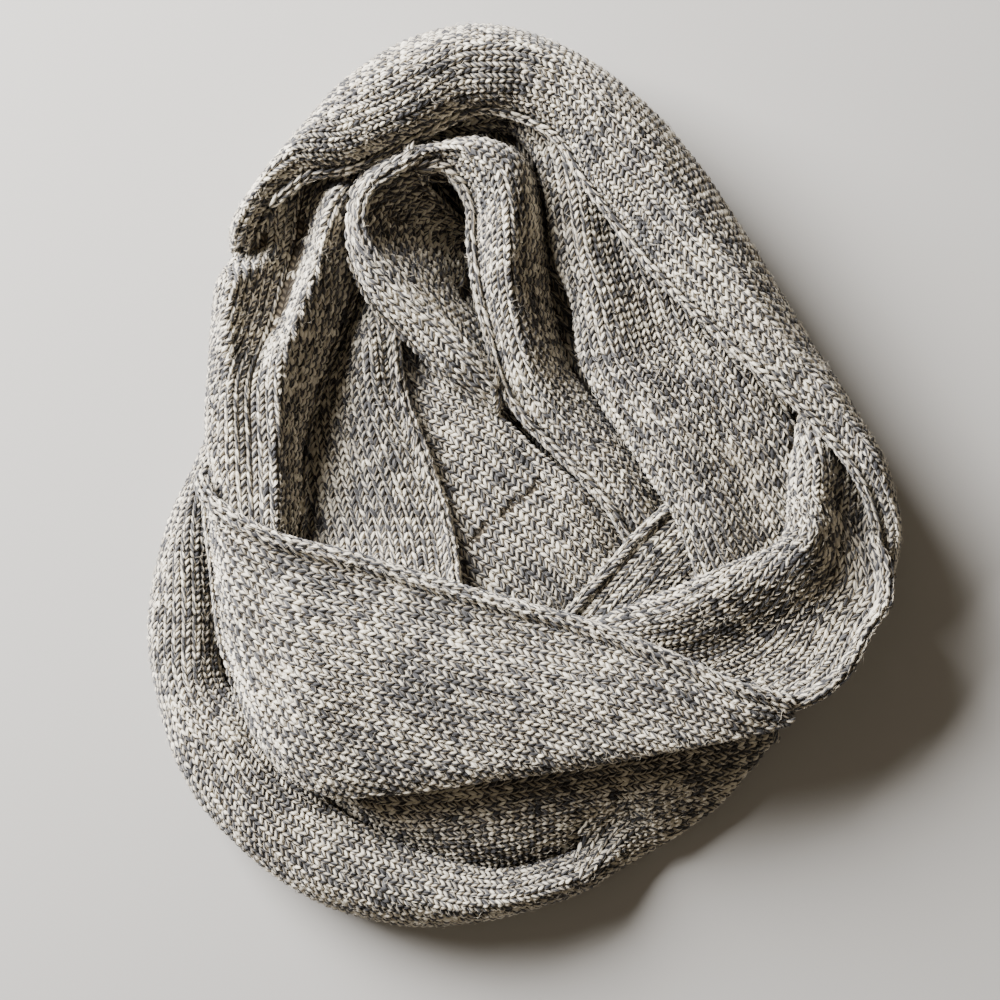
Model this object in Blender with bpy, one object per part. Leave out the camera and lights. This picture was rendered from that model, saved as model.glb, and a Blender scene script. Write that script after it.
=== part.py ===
"""Infinity scarf, knitted, lying heaped on a flat surface.

The scarf is one wide knitted band whose ends are joined, wound twice into a heap. Each stretch of
the band that shows is a wall of cloth, lofted through a short table of sections. A stretch that
lies under another is pressed down until it is clear of it. The layers that never show share one
rounded solid, flat below, with the edges of its layers on its flank.

The tables are in millimetres. Seen from above, X is to the right, Y is up the picture, Z is up
from the surface that the scarf lies on.
"""

import bmesh
import bpy
import numpy as np
from mathutils import Matrix, Vector
from mathutils.bvhtree import BVHTree

# Driving sizes, in millimetres
MM = 0.001
WALL = 2.0                     # thickness of the knitted cloth
LAYER_GAP = 0.7                # air between two layers that lie on each other
FLOOR_GAP = 0.4                # the rolls stop this far above the floor
CELL = 10.5                    # spacing of the sections that the loft adds
MIDDLE = (-0.59, -0.11)        # middle of the heap's outline in the tables' frame
YARN_COLOUR = (0.30, 0.275, 0.235, 1.0)

# How a layer is pressed clear of the layers over it
PRESS_RINGS = (
    # radius, how much higher than the ring's walls a point may lie
    (0.0, 0.0),
    (3.0, 0.0),
    (6.0, 3.0),
)
PRESS_REACH = 11.0             # a wall this far below a point still counts as lying over it
FLOOR_LAYER = 5.0              # walls lower than this lie on the floor and press nothing
SETTLE_STEPS = 14
SETTLE_DROP = 0.8              # how much a crossed place is lowered at each step
LAST_DROP = 0.4                # the air left once nothing crosses

# A roll of cloth that stands on the floor. Its sections need only their two sides and two heights.
# across: share of the way from the outer side to the inner edge. inset: extra way inwards.
# rise: share of the roll's top height. lip: share of the height of the inner edge.
ROLL_RAILS = (
    # rail,      across, inset, rise, lip
    ("tuck",      0.00, 13.0, 0.00, 0.00),
    ("foot",      0.00,  4.0, 0.03, 0.00),
    ("side",      0.00,  0.0, 0.36, 0.00),
    ("shoulder",  0.15,  0.0, 0.80, 0.00),
    ("crest",     0.47,  0.0, 1.00, 0.00),
    ("inner",     0.84,  0.0, 0.55, 0.45),
    ("edge",      1.00,  0.0, 0.00, 1.00),
    ("hem",       0.93,  0.0, 0.00, 0.87),
)

# Rolls, one row for each section: the outer side, the inner edge, the top and the edge's height
# columns: out (x, y), edge (x, y), top, lip
OUTER_TURN = (
    ((-134, 105), (-124, 104), 46, 43),
    ((-133, 115), (-121, 112), 58, 52),
    ((-122, 133), (-112, 125), 64, 57),
    ((-106, 152), (-97, 136), 71, 61),
    ((-88, 174), (-80, 139), 77, 60),
    ((-60, 194), (-57, 149), 82, 62),
    ((-20, 204), (-20, 165), 85, 65),
    ((20, 193), (12, 155), 85, 65),
    ((62, 161), (31, 129), 82, 62),
    ((100, 110), (56, 97), 79, 61),
    ((128, 64), (91, 62), 75, 62),
    ((147, 35), (123, 33), 71, 62),
    ((165, 0), (149, 2), 66, 60),
    ((171, -27), (159, -25), 51, 46),
    ((169, -44), (159, -43), 31, 25),
)
LOWER_TURN = (
    ((-137, 46), (-124, 46), 13, 8),
    ((-149, 14), (-134, 16), 30, 22),
    ((-165, -22), (-138, -22), 40, 28),
    ((-172, -60), (-139, -60), 44, 28),
    ((-170, -93), (-136, -90), 46, 32),
    ((-160, -127), (-120, -106), 49, 38),
    ((-143, -154), (-109, -126), 50, 36),
    ((-115, -180), (-89, -145), 48, 33),
    ((-78, -199), (-61, -162), 45, 30),
    ((-35, -204), (-28, -174), 42, 28),
    ((0, -197), (-3, -176), 38, 26),
    ((29, -188), (23, -169), 31, 21),
    ((51, -175), (43, -158), 15, 9),
)

# Sheets, one row for each section and one column for each rail, each point (x, y, z)
# columns: selvedge, chest, belly, fold, under
FRONT_PANEL = (
    ((-143, 1, 56), (-140, -42, 48), (-133, -84, 44), (-118, -119, 43), (-107, -127, 41)),
    ((-137, -9, 66), (-131, -46, 64), (-124, -84, 60), (-107, -131, 52), (-101, -123, 45)),
    ((-118, -22, 71), (-112, -54, 73), (-106, -92, 70), (-92, -139, 55), (-90, -128, 47)),
    ((-75, -35, 69), (-72, -64, 74), (-70, -98, 71), (-60, -139, 55), (-60, -126, 47)),
    ((-25, -50, 67), (-24, -74, 72), (-22, -102, 70), (-15, -133, 56), (-16, -122, 48)),
    ((25, -64, 66), (26, -82, 70), (28, -104, 68), (30, -126, 57), (30, -116, 49)),
    ((66, -80, 65), (68, -91, 68), (71, -106, 65), (72, -118, 57), (72, -110, 49)),
    ((98, -94, 62), (99, -100, 64), (101, -107, 61), (103, -111, 54), (102, -105, 48)),
    ((114, -98, 58), (116, -101, 59), (118, -104, 57), (118, -107, 53), (116, -104, 48)),
)
# columns: shelf, top, middle, low, foot
UNDER_PANEL = (
    ((-108, -112, 32), (-104, -130, 29), (-98, -140, 27), (-90, -149, 24), (-82, -157, 20)),
    ((-62, -102, 62), (-62, -136, 41), (-58, -150, 35), (-55, -162, 27), (-52, -174, 18)),
    ((-20, -100, 62), (-20, -132, 42), (-18, -152, 35), (-16, -168, 27), (-14, -181, 16)),
    ((22, -100, 50), (22, -126, 42), (22, -148, 33), (22, -163, 21), (22, -172, 13)),
    ((40, -100, 46), (40, -123, 41), (41, -145, 30), (42, -157, 16), (43, -163, 9)),
    ((55, -98, 42), (55, -121, 40), (55, -144, 31), (59, -168, 14), (63, -163, 4)),
    ((72, -97, 39), (72, -116, 39), (74, -137, 29), (79, -158, 12), (72, -154, 3)),
    ((92, -97, 37), (92, -112, 37), (93, -127, 28), (96, -144, 13), (88, -140, 3)),
    ((112, -96, 36), (112, -106, 36), (113, -112, 27), (115, -119, 13), (108, -115, 3)),
)
# columns: tuck, side, first ridge, valley, second ridge, drop
LEFT_FOLDS = (
    ((-100, 128, 22), (-109, 134, 31), (-103, 139, 42), (-96, 143, 40), (-80, 150, 50), (-67, 150, 42)),
    ((-112, 108, 20), (-124, 114, 30), (-116, 117, 46), (-102, 121, 35), (-86, 124, 62), (-71, 126, 44)),
    ((-119, 98, 15), (-134, 99, 31), (-121, 104, 51), (-104, 108, 33), (-89, 110, 66), (-72, 111, 44)),
    ((-126, 88, 3), (-139, 88, 32), (-127, 91, 58), (-108, 94, 35), (-92, 96, 68), (-73, 97, 42)),
    ((-128, 69, 3), (-142, 68, 28), (-130, 71, 64), (-113, 73, 43), (-99, 75, 68), (-80, 74, 36)),
    ((-130, 44, 25), (-143, 44, 40), (-131, 45, 63), (-121, 46, 58), (-107, 48, 66), (-91, 47, 32)),
    ((-132, 14, 40), (-142, 14, 48), (-132, 15, 61), (-121, 15, 59), (-109, 15, 62), (-99, 14, 32)),
    ((-130, -8, 42), (-138, -6, 50), (-130, -8, 61), (-120, -8, 62), (-109, -8, 63), (-100, -9, 36)),
    ((-124, -38, 44), (-131, -37, 54), (-125, -38, 62), (-118, -38, 68), (-110, -38, 68), (-103, -38, 42)),
)
# columns: left, slope, crest, selvedge
CENTRE_LEFT_PANEL = (
    ((-77, 86, 26), (-72, 88, 34), (-67, 89, 38), (-63, 87, 36)),
    ((-87, 64, 22), (-77, 65, 40), (-69, 66, 48), (-60, 67, 43)),
    ((-98, 40, 20), (-82, 40, 35), (-69, 41, 46), (-57, 42, 41)),
    ((-106, 10, 20), (-86, 9, 35), (-66, 10, 42), (-46, 11, 38)),
    ((-108, -20, 24), (-86, -20, 39), (-61, -20, 44), (-36, -20, 38)),
    ((-104, -54, 40), (-80, -56, 62), (-56, -56, 66), (-31, -56, 58)),
)
# columns: under, fold, upper, lower, left
CENTRE_PANEL = (
    ((-62, 66, 20), (-54, 69, 30), (-58, 62, 32), (-64, 56, 30), (-72, 50, 25)),
    ((-48, 43, 20), (-39, 49, 33), (-46, 42, 36), (-55, 32, 32), (-70, 22, 26)),
    ((-25, 25, 20), (-15, 34, 34), (-24, 24, 38), (-45, 0, 34), (-64, -18, 28)),
    ((1, 3, 20), (10, 12, 33), (1, 0, 37), (-27, -34, 36), (-48, -56, 46)),
    ((24, -18, 20), (33, -9, 31), (24, -22, 35), (2, -52, 37), (-18, -76, 56)),
    ((41, -39, 18), (50, -31, 27), (41, -43, 29), (23, -64, 30), (6, -82, 38)),
)
# columns: deep, hollow, rim, face, hem
COLLAR_LOOP = (
    ((-13, 55, 32), (-13, 50, 40), (-14, 43, 46), (-13, 37, 45), (-13, 32, 38)),
    ((-15, 67, 30), (-20, 61, 44), (-25, 56, 54), (-31, 49, 52), (-35, 45, 43)),
    ((-27, 82, 28), (-36, 79, 50), (-42, 74, 60), (-48, 65, 57), (-52, 61, 47)),
    ((-30, 89, 26), (-50, 93, 56), (-58, 89, 65), (-63, 79, 61), (-66, 75, 51)),
    ((-25, 96, 23), (-61, 103, 60), (-69, 101, 69), (-73, 93, 64), (-74, 88, 54)),
    ((-22, 101, 20), (-65, 112, 61), (-73, 112, 71), (-78, 108, 66), (-80, 106, 58)),
    ((-21, 105, 18), (-62, 122, 60), (-69, 127, 72), (-74, 130, 66), (-75, 131, 58)),
    ((-21, 113, 20), (-45, 131, 56), (-49.6, 141, 73), (-51.9, 145.3, 67), (-53.9, 148.3, 59)),
)
# columns: hollow, inner, crest, outer, tuck
POCKET_ROLL = (
    ((-43, 133, 54), (-47, 137, 67), (-49, 142, 73), (-51, 146, 67), (-53, 149, 59)),
    ((-34, 133, 50), (-38, 139, 66), (-38, 144, 75), (-39, 148, 68), (-39, 150, 58)),
    ((-25, 128, 46), (-29, 133, 62), (-24, 142, 78), (-19, 150, 68), (-18, 152, 55)),
    ((-19, 120, 42), (-23, 123, 58), (-13, 132, 80), (-2, 141, 66), (1, 142, 52)),
    ((-17, 107, 40), (-22, 107, 54), (-9, 111, 78), (7, 114, 58), (10, 114, 44)),
    ((-15, 89, 38), (-20, 89, 52), (-8, 91, 72), (9, 90, 46), (12, 89, 34)),
    ((-11, 69, 34), (-15, 68, 48), (-4, 69, 62), (13, 66, 38), (17, 64, 28)),
    ((-4, 47, 30), (-8, 44, 44), (4, 47, 53), (21, 47, 34), (25, 46, 26)),
    ((9, 27, 26), (5, 25, 40), (16, 30, 48), (34, 34, 31), (38, 33, 25)),
    ((28, 8, 22), (24, 7, 36), (34, 12, 44), (48, 16, 28), (52, 15, 21)),
    ((44, -10, 19), (40, -11, 32), (49, -5, 39), (60, -2, 25), (64, -3, 18)),
    ((54, -27, 15), (50, -28, 25), (59, -23, 31), (69, -18, 21), (72, -20, 15)),
)
# columns: tuck, left, crest, slope, under
INNER_RIGHT_ROLL = (
    ((-50, 152, 39), (-52, 153, 44), (-52, 159, 47), (-52, 165, 46), (-52, 171, 42)),
    ((-30, 154, 40), (-31, 155, 48), (-31, 161, 51), (-31, 168, 48), (-31, 174, 44)),
    ((-8, 156, 42), (-8, 157, 52), (-5, 162, 56), (-2, 169, 50), (2, 174, 45)),
    ((5, 144, 42), (4, 146, 53), (13, 150, 60), (22, 155, 51), (32, 159, 45)),
    ((12, 120, 40), (10, 121, 52), (21, 124, 61), (33, 128, 53), (45, 132, 45)),
    ((15, 98, 34), (13, 98, 51), (25, 102, 61), (40, 107, 52), (58, 112, 44)),
    ((23, 78, 32), (21, 77, 49), (31, 79, 60), (52, 85, 50), (75, 93, 43)),
    ((27, 53, 33), (25, 53, 48), (38, 55, 58), (62, 63, 48), (95, 76, 41)),
    ((38, 31, 36), (36, 32, 48), (51, 38, 58), (80, 48, 47), (116, 58, 38)),
    ((51, 12, 38), (49, 13, 48), (65, 18, 57), (92, 26, 46), (122, 35, 35)),
    ((62, -6, 40), (60, -5, 48), (76, -2, 55), (98, 3, 46), (123, 8, 36)),
    ((71, -22, 41), (69, -21, 48), (84, -20, 52), (102, -17, 45), (123, -12, 37)),
    ((79, -44, 37), (78, -43, 42), (90, -43, 44), (104, -40, 41), (119, -36, 37)),
)
# columns: tuck, inner, crest, hollow, bank, rim
RIGHT_TURN = (
    ((124, 34, 43), (126, 36, 46), (132, 35, 48), (140, 28, 46), (147, 20, 44), (153, 13, 42)),
    ((121, 8, 47), (117, 8, 56), (127, 6, 66), (139, -1, 53), (148, -6, 46), (155, -9, 42)),
    ((121, -6, 47), (116, -6, 57), (126, -7, 68), (139, -15, 54), (148, -22, 48), (154, -25, 47)),
    ((121, -12, 47), (116, -12, 57), (126, -14, 68), (140, -26, 54), (150, -33, 50), (159, -37, 53)),
    ((120, -19, 47), (116, -19, 57), (125, -22, 68), (138, -36, 53), (149, -44, 49), (160, -51, 56)),
    ((114, -32, 47), (111, -28, 57), (118, -34, 66), (131, -51, 52), (141, -60, 49), (151, -67, 56)),
    ((93, -43, 46), (89, -37, 55), (95, -44, 62), (110, -64, 50), (125, -77, 48), (141, -85, 55)),
    ((66, -56, 46), (62, -49, 54), (68, -56, 61), (83, -75, 50), (102, -89, 47), (122, -98, 51)),
    ((38, -66, 48), (35, -60, 55), (40, -67, 61), (54, -80, 55), (73, -92, 50), (94, -101, 46)),
    ((12, -75, 52), (10, -70, 59), (14, -77, 67), (26, -87, 66), (43, -95, 62), (62, -101, 56)),
)
# columns: turn, edge, middle, under
SMALL_STRIP = (
    ((19, -70, 27), (16, -66, 32), (30, -74, 33), (46, -80, 29)),
    ((37, -52, 29), (33, -48, 35), (47, -56, 37), (62, -66, 32)),
    ((55, -32, 31), (51, -27, 38), (62, -37, 39), (78, -49, 32)),
    ((69, -18, 29), (67, -12, 34), (76, -23, 35), (90, -36, 29)),
)

# The hidden layers: where their footprint runs, and how far the stack's edge steps in and out
FOOTPRINT = (
    (-59, 176), (-20, 186), (15, 176), (50, 149), (84, 103), (110, 62), (129, 30), (146, -2),
    (151, -24), (150, -40), (158, -58), (151, -76), (138, -90), (119, -98), (102, -106),
    (84, -130), (52, -146), (22, -166), (-12, -178), (-52, -184), (-96, -170), (-127, -144),
    (-145, -116), (-153, -88), (-155, -60), (-148, -24), (-130, 12), (-118, 46), (-126, 70),
    (-110, 89), (-116, 110), (-106, 126), (-98, 140), (-83, 158),
)
FLANK = (
    # share of the height, way out
    (0.00, -3.0), (0.10, 0.0), (0.24, 0.3), (0.32, -3.0), (0.42, 0.2), (0.56, 0.0),
    (0.65, -3.4), (0.74, -0.6), (0.90, -1.6),
)
CORE_SHARES = (0.97, 0.90, 0.82, 0.73, 0.63, 0.52, 0.41, 0.30, 0.19, 0.09)
CORE_SECTORS = 60
CORE_MIDDLE = (-5.0, -5.0)
CORE_OPEN_TOP = 25.0           # its height where nothing lies over it
CORE_STEPS = 30
CORE_SLACK = 0.003             # last shrink of the flank towards the middle
CORE_GIVE = 0.98               # what is left of the flank's height after one step


# Curves and lofts
def chord_knots(table):
    """Knots of a smooth curve through the rows of a table, from the mean way between rows."""
    steps = np.linalg.norm(np.diff(table, axis=0), axis=-1)
    return np.concatenate(([0.0], np.cumsum(steps.reshape(len(steps), -1).mean(axis=1))))


def smooth_through(table, knots, at):
    """Read a smooth curve through the rows of a table at the given places along its knots."""
    slopes = np.diff(table, axis=0) / np.diff(knots).reshape((-1,) + (1,) * (table.ndim - 1))
    spans = np.diff(knots)
    tangents = np.empty_like(table)
    tangents[0] = slopes[0]
    tangents[-1] = slopes[-1]
    for row in range(1, len(table) - 1):
        before, after = spans[row - 1], spans[row]
        tangents[row] = (slopes[row - 1] * after + slopes[row] * before) / (before + after)
    curve = []
    for place in at:
        row = min(int(np.searchsorted(knots, place, side="right")) - 1, len(spans) - 1)
        row = max(row, 0)
        span = spans[row]
        u = (place - knots[row]) / span
        curve.append(
            table[row] * (2 * u**3 - 3 * u**2 + 1)
            + tangents[row] * span * (u**3 - 2 * u**2 + u)
            + table[row + 1] * (3 * u**2 - 2 * u**3)
            + tangents[row + 1] * span * (u**3 - u**2)
        )
    return np.array(curve)


def places_between(knots, counts):
    """Places along the knots: each span is cut in its own number of equal steps."""
    places = []
    for span, count in enumerate(counts):
        places.extend(np.linspace(knots[span], knots[span + 1], count, endpoint=False))
    places.append(knots[-1])
    return places


def loft(sections, across_counts, cell=CELL):
    """Points of a sheet through its sections, as an array of rows, rails and coordinates."""
    table = np.array(sections, dtype=float)
    along_knots = chord_knots(table)
    along_counts = [max(1, round(span / cell)) for span in np.diff(along_knots)]
    table = smooth_through(table, along_knots, places_between(along_knots, along_counts))
    turned = table.swapaxes(0, 1)
    across_knots = chord_knots(turned)
    turned = smooth_through(turned, across_knots, places_between(across_knots, across_counts))
    return turned.swapaxes(0, 1)


def roll_sections(rows):
    """Sections of a roll that stands on the floor, from its sides and heights."""
    sections = []
    for out, edge, top, lip in rows:
        out = np.array(out, dtype=float)
        way = np.array(edge, dtype=float) - out
        inwards = way / np.linalg.norm(way)
        section = []
        for _rail, across, inset, rise, lip_share in ROLL_RAILS:
            x, y = out + way * across + inwards * inset
            section.append((x, y, FLOOR_GAP + rise * top + lip_share * lip))
        sections.append(section)
    return sections


# Layers that lie on each other
def rays_up(trees, x, y, z):
    """Height of the lowest wall over a point, or None where there is none."""
    heights = [tree.ray_cast(Vector((x, y, z)) * MM, Vector((0, 0, 1)))[0] for tree in trees]
    heights = [hit.z / MM for hit in heights if hit is not None]
    return min(heights) if heights else None


def press_under(points, trees):
    """Lower the points of a sheet until they are clear of the walls that lie over it."""
    for point in points.reshape(-1, 3):
        x, y, z = point
        for radius, allowance in PRESS_RINGS:
            for turn in range(8 if radius else 1):
                angle = turn * np.pi / 4
                over = rays_up(trees, x + radius * np.cos(angle), y + radius * np.sin(angle),
                               max(z - PRESS_REACH, FLOOR_LAYER))
                if over is not None:
                    point[2] = min(point[2], over - LAYER_GAP + allowance)
    return points


# Blender objects
def yarn_material(name):
    """A plain matt wool material."""
    material = bpy.data.materials.new(name)
    material.use_nodes = True
    surface = material.node_tree.nodes["Principled BSDF"]
    surface.inputs["Base Color"].default_value = YARN_COLOUR
    surface.inputs["Roughness"].default_value = 0.95
    surface.inputs["Metallic"].default_value = 0.0
    return material


def add_object(name, shape):
    """Turn a bmesh into a named object with a material of its own."""
    mesh = bpy.data.meshes.new(name)
    shape.to_mesh(mesh)
    shape.free()
    thing = bpy.data.objects.new(name, mesh)
    thing.data.materials.append(yarn_material(name + "_yarn"))
    bpy.context.scene.collection.objects.link(thing)
    return thing


def sheet_object(name, points):
    """A wall of cloth whose outer face runs through the points."""
    points[..., 2] = np.maximum(points[..., 2], FLOOR_GAP)
    shape = bmesh.new()
    rows = [[shape.verts.new(Vector(point) * MM) for point in row] for row in points]
    for row, next_row in zip(rows, rows[1:]):
        for corner in range(len(row) - 1):
            shape.faces.new((row[corner], row[corner + 1], next_row[corner + 1], next_row[corner]))
    shape.normal_update()
    if sum(face.normal.z * face.calc_area() for face in shape.faces) < 0:
        bmesh.ops.reverse_faces(shape, faces=shape.faces[:])
    bmesh.ops.triangulate(shape, faces=shape.faces[:])
    thing = add_object(name, shape)
    wall = thing.modifiers.new("cloth thickness", "SOLIDIFY")
    wall.thickness = WALL * MM
    wall.offset = -1.0
    return thing


def wall_tree(thing):
    """Search tree of an object's finished wall."""
    bpy.context.view_layer.update()
    return BVHTree.FromObject(thing, bpy.context.evaluated_depsgraph_get())


def crossed_corners(thing, trees):
    """Numbers of the object's own corners whose wall crosses one of the other walls."""
    own = wall_tree(thing)
    faces = {face for tree in trees for face, _other in own.overlap(tree)}
    wall = thing.evaluated_get(bpy.context.evaluated_depsgraph_get()).data
    count = len(thing.data.vertices)
    return {corner % count for face in faces for corner in wall.polygons[face].vertices}


def settle(name, points, trees):
    """Make a sheet, and lower it where its wall still crosses one that lies over it."""
    flat = points.reshape(-1, 3)
    lowered = set()
    thing = sheet_object(name, points)
    for _step in range(SETTLE_STEPS):
        crossed = crossed_corners(thing, trees)
        if not crossed:
            break
        flat[sorted(crossed), 2] -= SETTLE_DROP
        lowered |= crossed
        bpy.data.objects.remove(thing)
        thing = sheet_object(name, points)
    if lowered:
        flat[sorted(lowered), 2] -= LAST_DROP
        bpy.data.objects.remove(thing)
        thing = sheet_object(name, points)
    return thing


# The stretches, each after those that lie over it
STRETCHES = (
    # name, sections, steps between rails, the stretches that lie over it
    ("front_panel", FRONT_PANEL, (2, 3, 3, 2), ()),
    ("outer_turn", roll_sections(OUTER_TURN), (1, 1, 2, 2, 2, 1, 1), ()),
    ("right_turn", RIGHT_TURN, (1, 1, 2, 2, 2), ("front_panel",)),
    ("inner_right_roll", INNER_RIGHT_ROLL, (1, 2, 2, 2), ("outer_turn", "right_turn")),
    ("small_strip", SMALL_STRIP, (1, 2, 2), ("inner_right_roll", "right_turn", "front_panel")),
    ("pocket_roll", POCKET_ROLL, (1, 2, 2, 1), ("inner_right_roll", "small_strip", "right_turn")),
    ("collar_loop", COLLAR_LOOP, (2, 2, 2, 1), ("outer_turn",)),
    ("left_folds", LEFT_FOLDS, (2, 2, 2, 2, 2), ("outer_turn", "collar_loop", "front_panel")),
    ("centre_left_panel", CENTRE_LEFT_PANEL, (2, 2, 3), ("left_folds", "collar_loop", "front_panel")),
    ("centre_panel", CENTRE_PANEL, (1, 1, 4, 2),
     ("centre_left_panel", "collar_loop", "pocket_roll", "small_strip", "right_turn", "front_panel",
      "left_folds")),
    ("lower_turn", roll_sections(LOWER_TURN), (1, 1, 2, 1, 2, 1, 1), ("left_folds", "front_panel")),
    ("under_panel", UNDER_PANEL, (2, 2, 2, 1), ("front_panel", "lower_turn", "right_turn")),
)


def build_stretches():
    """Make every stretch from the top of the heap downwards."""
    trees = {}
    for name, sections, across_counts, over in STRETCHES:
        points = loft(sections, across_counts)
        walls_over = [trees[upper] for upper in over]
        points = press_under(np.ascontiguousarray(points), walls_over)
        trees[name] = wall_tree(settle(name, points, walls_over))
    return trees


# The hidden layers
def closed_curve(points, count):
    """Evenly spaced points on a smooth closed curve."""
    loop = np.array(points[-3:] + points + points[:3], dtype=float)
    knots = chord_knots(loop)
    return smooth_through(loop, knots, np.linspace(knots[3], knots[-3], count, endpoint=False))


def lowest_over_cells(rings, trees):
    """Lowest wall over the cells round each grid point, so that flat cells stay clear of it."""
    heights = np.full(rings.shape[:2], np.inf)
    samples = np.linspace(0.0, 1.0, 4)
    for ring in range(len(rings) - 1):
        for sector in range(CORE_SECTORS):
            beside = (sector + 1) % CORE_SECTORS
            lowest = CORE_OPEN_TOP
            found = []
            for u in samples:
                near = rings[ring, sector] * (1 - u) + rings[ring, beside] * u
                far = rings[ring + 1, sector] * (1 - u) + rings[ring + 1, beside] * u
                for v in samples:
                    x, y = near * (1 - v) + far * v
                    over = rays_up(trees, x, y, -1.0)
                    if over is not None:
                        found.append(over)
            if found:
                lowest = min(found)
            for corner in ((ring, sector), (ring, beside), (ring + 1, sector), (ring + 1, beside)):
                heights[corner] = min(heights[corner], lowest - LAYER_GAP)
    return heights


def core_points(trees):
    """Points of the stack of hidden layers: its flank from the floor up, then its top inwards."""
    rim = closed_curve(FOOTPRINT, CORE_SECTORS)
    middle = np.array(CORE_MIDDLE)
    rings = np.array([middle + (rim - middle) * share for share in (1.0,) + CORE_SHARES])
    heights = lowest_over_cells(rings, trees)
    edge_heights = np.minimum(heights[0], heights[1] + 2.0)
    outwards = rim - middle
    outwards /= np.linalg.norm(outwards, axis=1)[:, None]
    rows = []
    for share, way_out in FLANK:
        rows.append(np.column_stack((rim + outwards * way_out, edge_heights * share)))
    for ring in range(1, len(rings)):
        rows.append(np.column_stack((rings[ring], heights[ring])))
    return np.array(rows)


def core_object(points):
    """A closed solid through the rows of points, flat below."""
    shape = bmesh.new()
    rows = [[shape.verts.new(Vector(point) * MM) for point in row] for row in points]
    for row, next_row in zip(rows, rows[1:]):
        for sector in range(CORE_SECTORS):
            beside = (sector + 1) % CORE_SECTORS
            shape.faces.new((row[sector], row[beside], next_row[beside], next_row[sector]))
    shape.faces.new(rows[-1])
    shape.faces.new(rows[0][::-1])
    bmesh.ops.triangulate(shape, faces=shape.faces[:])
    bmesh.ops.recalc_face_normals(shape, faces=shape.faces[:])
    return add_object("hidden_layers", shape)


def hidden_layers(trees):
    """The layers inside the heap: their top and flank give way until no wall crosses them."""
    points = core_points(trees)
    middle = np.array(CORE_MIDDLE)
    thing = core_object(points)
    for _step in range(CORE_STEPS):
        crossed = crossed_corners(thing, trees)
        if not crossed:
            break
        for corner in crossed:
            row, sector = divmod(corner, CORE_SECTORS)
            if row >= len(FLANK):
                points[row, sector, 2] -= SETTLE_DROP
            else:
                flank = points[:len(FLANK), sector]
                flank[:, 2] *= CORE_GIVE
                flank[:, :2] += (middle - flank[:, :2]) * (1.0 - CORE_GIVE) * 0.3
        bpy.data.objects.remove(thing)
        thing = core_object(points)
    bpy.data.objects.remove(thing)
    points[len(FLANK):, :, 2] -= LAST_DROP
    points[:len(FLANK), :, :2] += (middle - points[:len(FLANK), :, :2]) * CORE_SLACK
    return core_object(points)


def main():
    for thing in list(bpy.data.objects):
        bpy.data.objects.remove(thing)
    trees = build_stretches()
    hidden_layers(list(trees.values()))
    to_middle = Matrix.Translation(Vector((-MIDDLE[0], -MIDDLE[1], 0.0)) * MM)
    for thing in bpy.context.scene.objects:
        thing.data.transform(to_middle)


main()
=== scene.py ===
# %% [markdown]
# # An infinity scarf, dropped in a heap
# The real scarf is one wide band of stocking stitch in a marled yarn, joined into a loop and wound
# twice. Here each stretch of the band that shows is built in three layers: a thin shell of cloth,
# the knitted stitches that lie on it, and the chain of stitches along its edge.

import bmesh
import bpy
import numpy as np
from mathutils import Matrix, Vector
from mathutils.bvhtree import BVHTree


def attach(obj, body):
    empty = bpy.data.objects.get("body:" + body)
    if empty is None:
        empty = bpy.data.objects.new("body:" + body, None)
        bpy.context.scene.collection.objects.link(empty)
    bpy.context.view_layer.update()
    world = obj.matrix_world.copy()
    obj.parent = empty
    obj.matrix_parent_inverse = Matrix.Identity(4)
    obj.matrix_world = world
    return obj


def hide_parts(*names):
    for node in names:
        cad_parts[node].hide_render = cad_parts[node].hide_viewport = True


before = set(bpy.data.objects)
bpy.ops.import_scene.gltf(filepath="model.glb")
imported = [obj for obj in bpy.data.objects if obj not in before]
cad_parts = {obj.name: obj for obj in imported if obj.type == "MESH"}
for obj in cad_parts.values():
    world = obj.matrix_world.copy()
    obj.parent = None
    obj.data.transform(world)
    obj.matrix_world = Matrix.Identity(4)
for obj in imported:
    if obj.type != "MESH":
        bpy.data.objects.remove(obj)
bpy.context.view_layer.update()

# %% [markdown]
# ## Sizes
# A knitted stitch sets every other size. Its two legs make a V, one column of V's is a wale and one
# row is a course. On the real scarf a wale is about 5 mm wide and a course 3.25 mm high.

# %% Driving sizes, in millimetres
MM = 0.001
WALE = 5.0                    # width of a column of stitches
COURSE = 3.25                 # height of a row of stitches
CELL = 10.5                   # spacing of the sections that the solids' loft adds
MIDDLE = (-0.59, -0.11)       # middle of the heap's outline in the tables' frame
FLOOR_GAP = 0.4
FINE = 2.6                    # spacing of the fine grid that cloth and stitches are read from
SHELL_DEPTH = 1.3             # the cloth shell lies this far under the stitches' tops
SHELL_WALL = 0.8
STITCH_DEPTH = 1.1            # a stitch's middle lies this far under the solid's surface
LOWEST = 1.3                  # and at least this far above the floor where it faces up
SIDE_LIFT = 2.6               # and this much more where it faces sideways
EDGE_MARGIN = 0.35            # share of a wale that has to fit beside the cloth's edge
LOOK_FROM = 1.2               # how far above the cloth a look for the way out starts
SEED = 7

# %% [markdown]
# ## The band's sections
# Cloth that lies in folds is easiest to describe by cutting across it. Each row below is one such
# cut, and each column is one rail: a line that runs along the band, such as its edge or the top of
# a fold. A smooth surface through these few points is the fold. The solids were made from the same
# rows, so the cloth lies exactly on them. A point is x, y and height.

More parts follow.
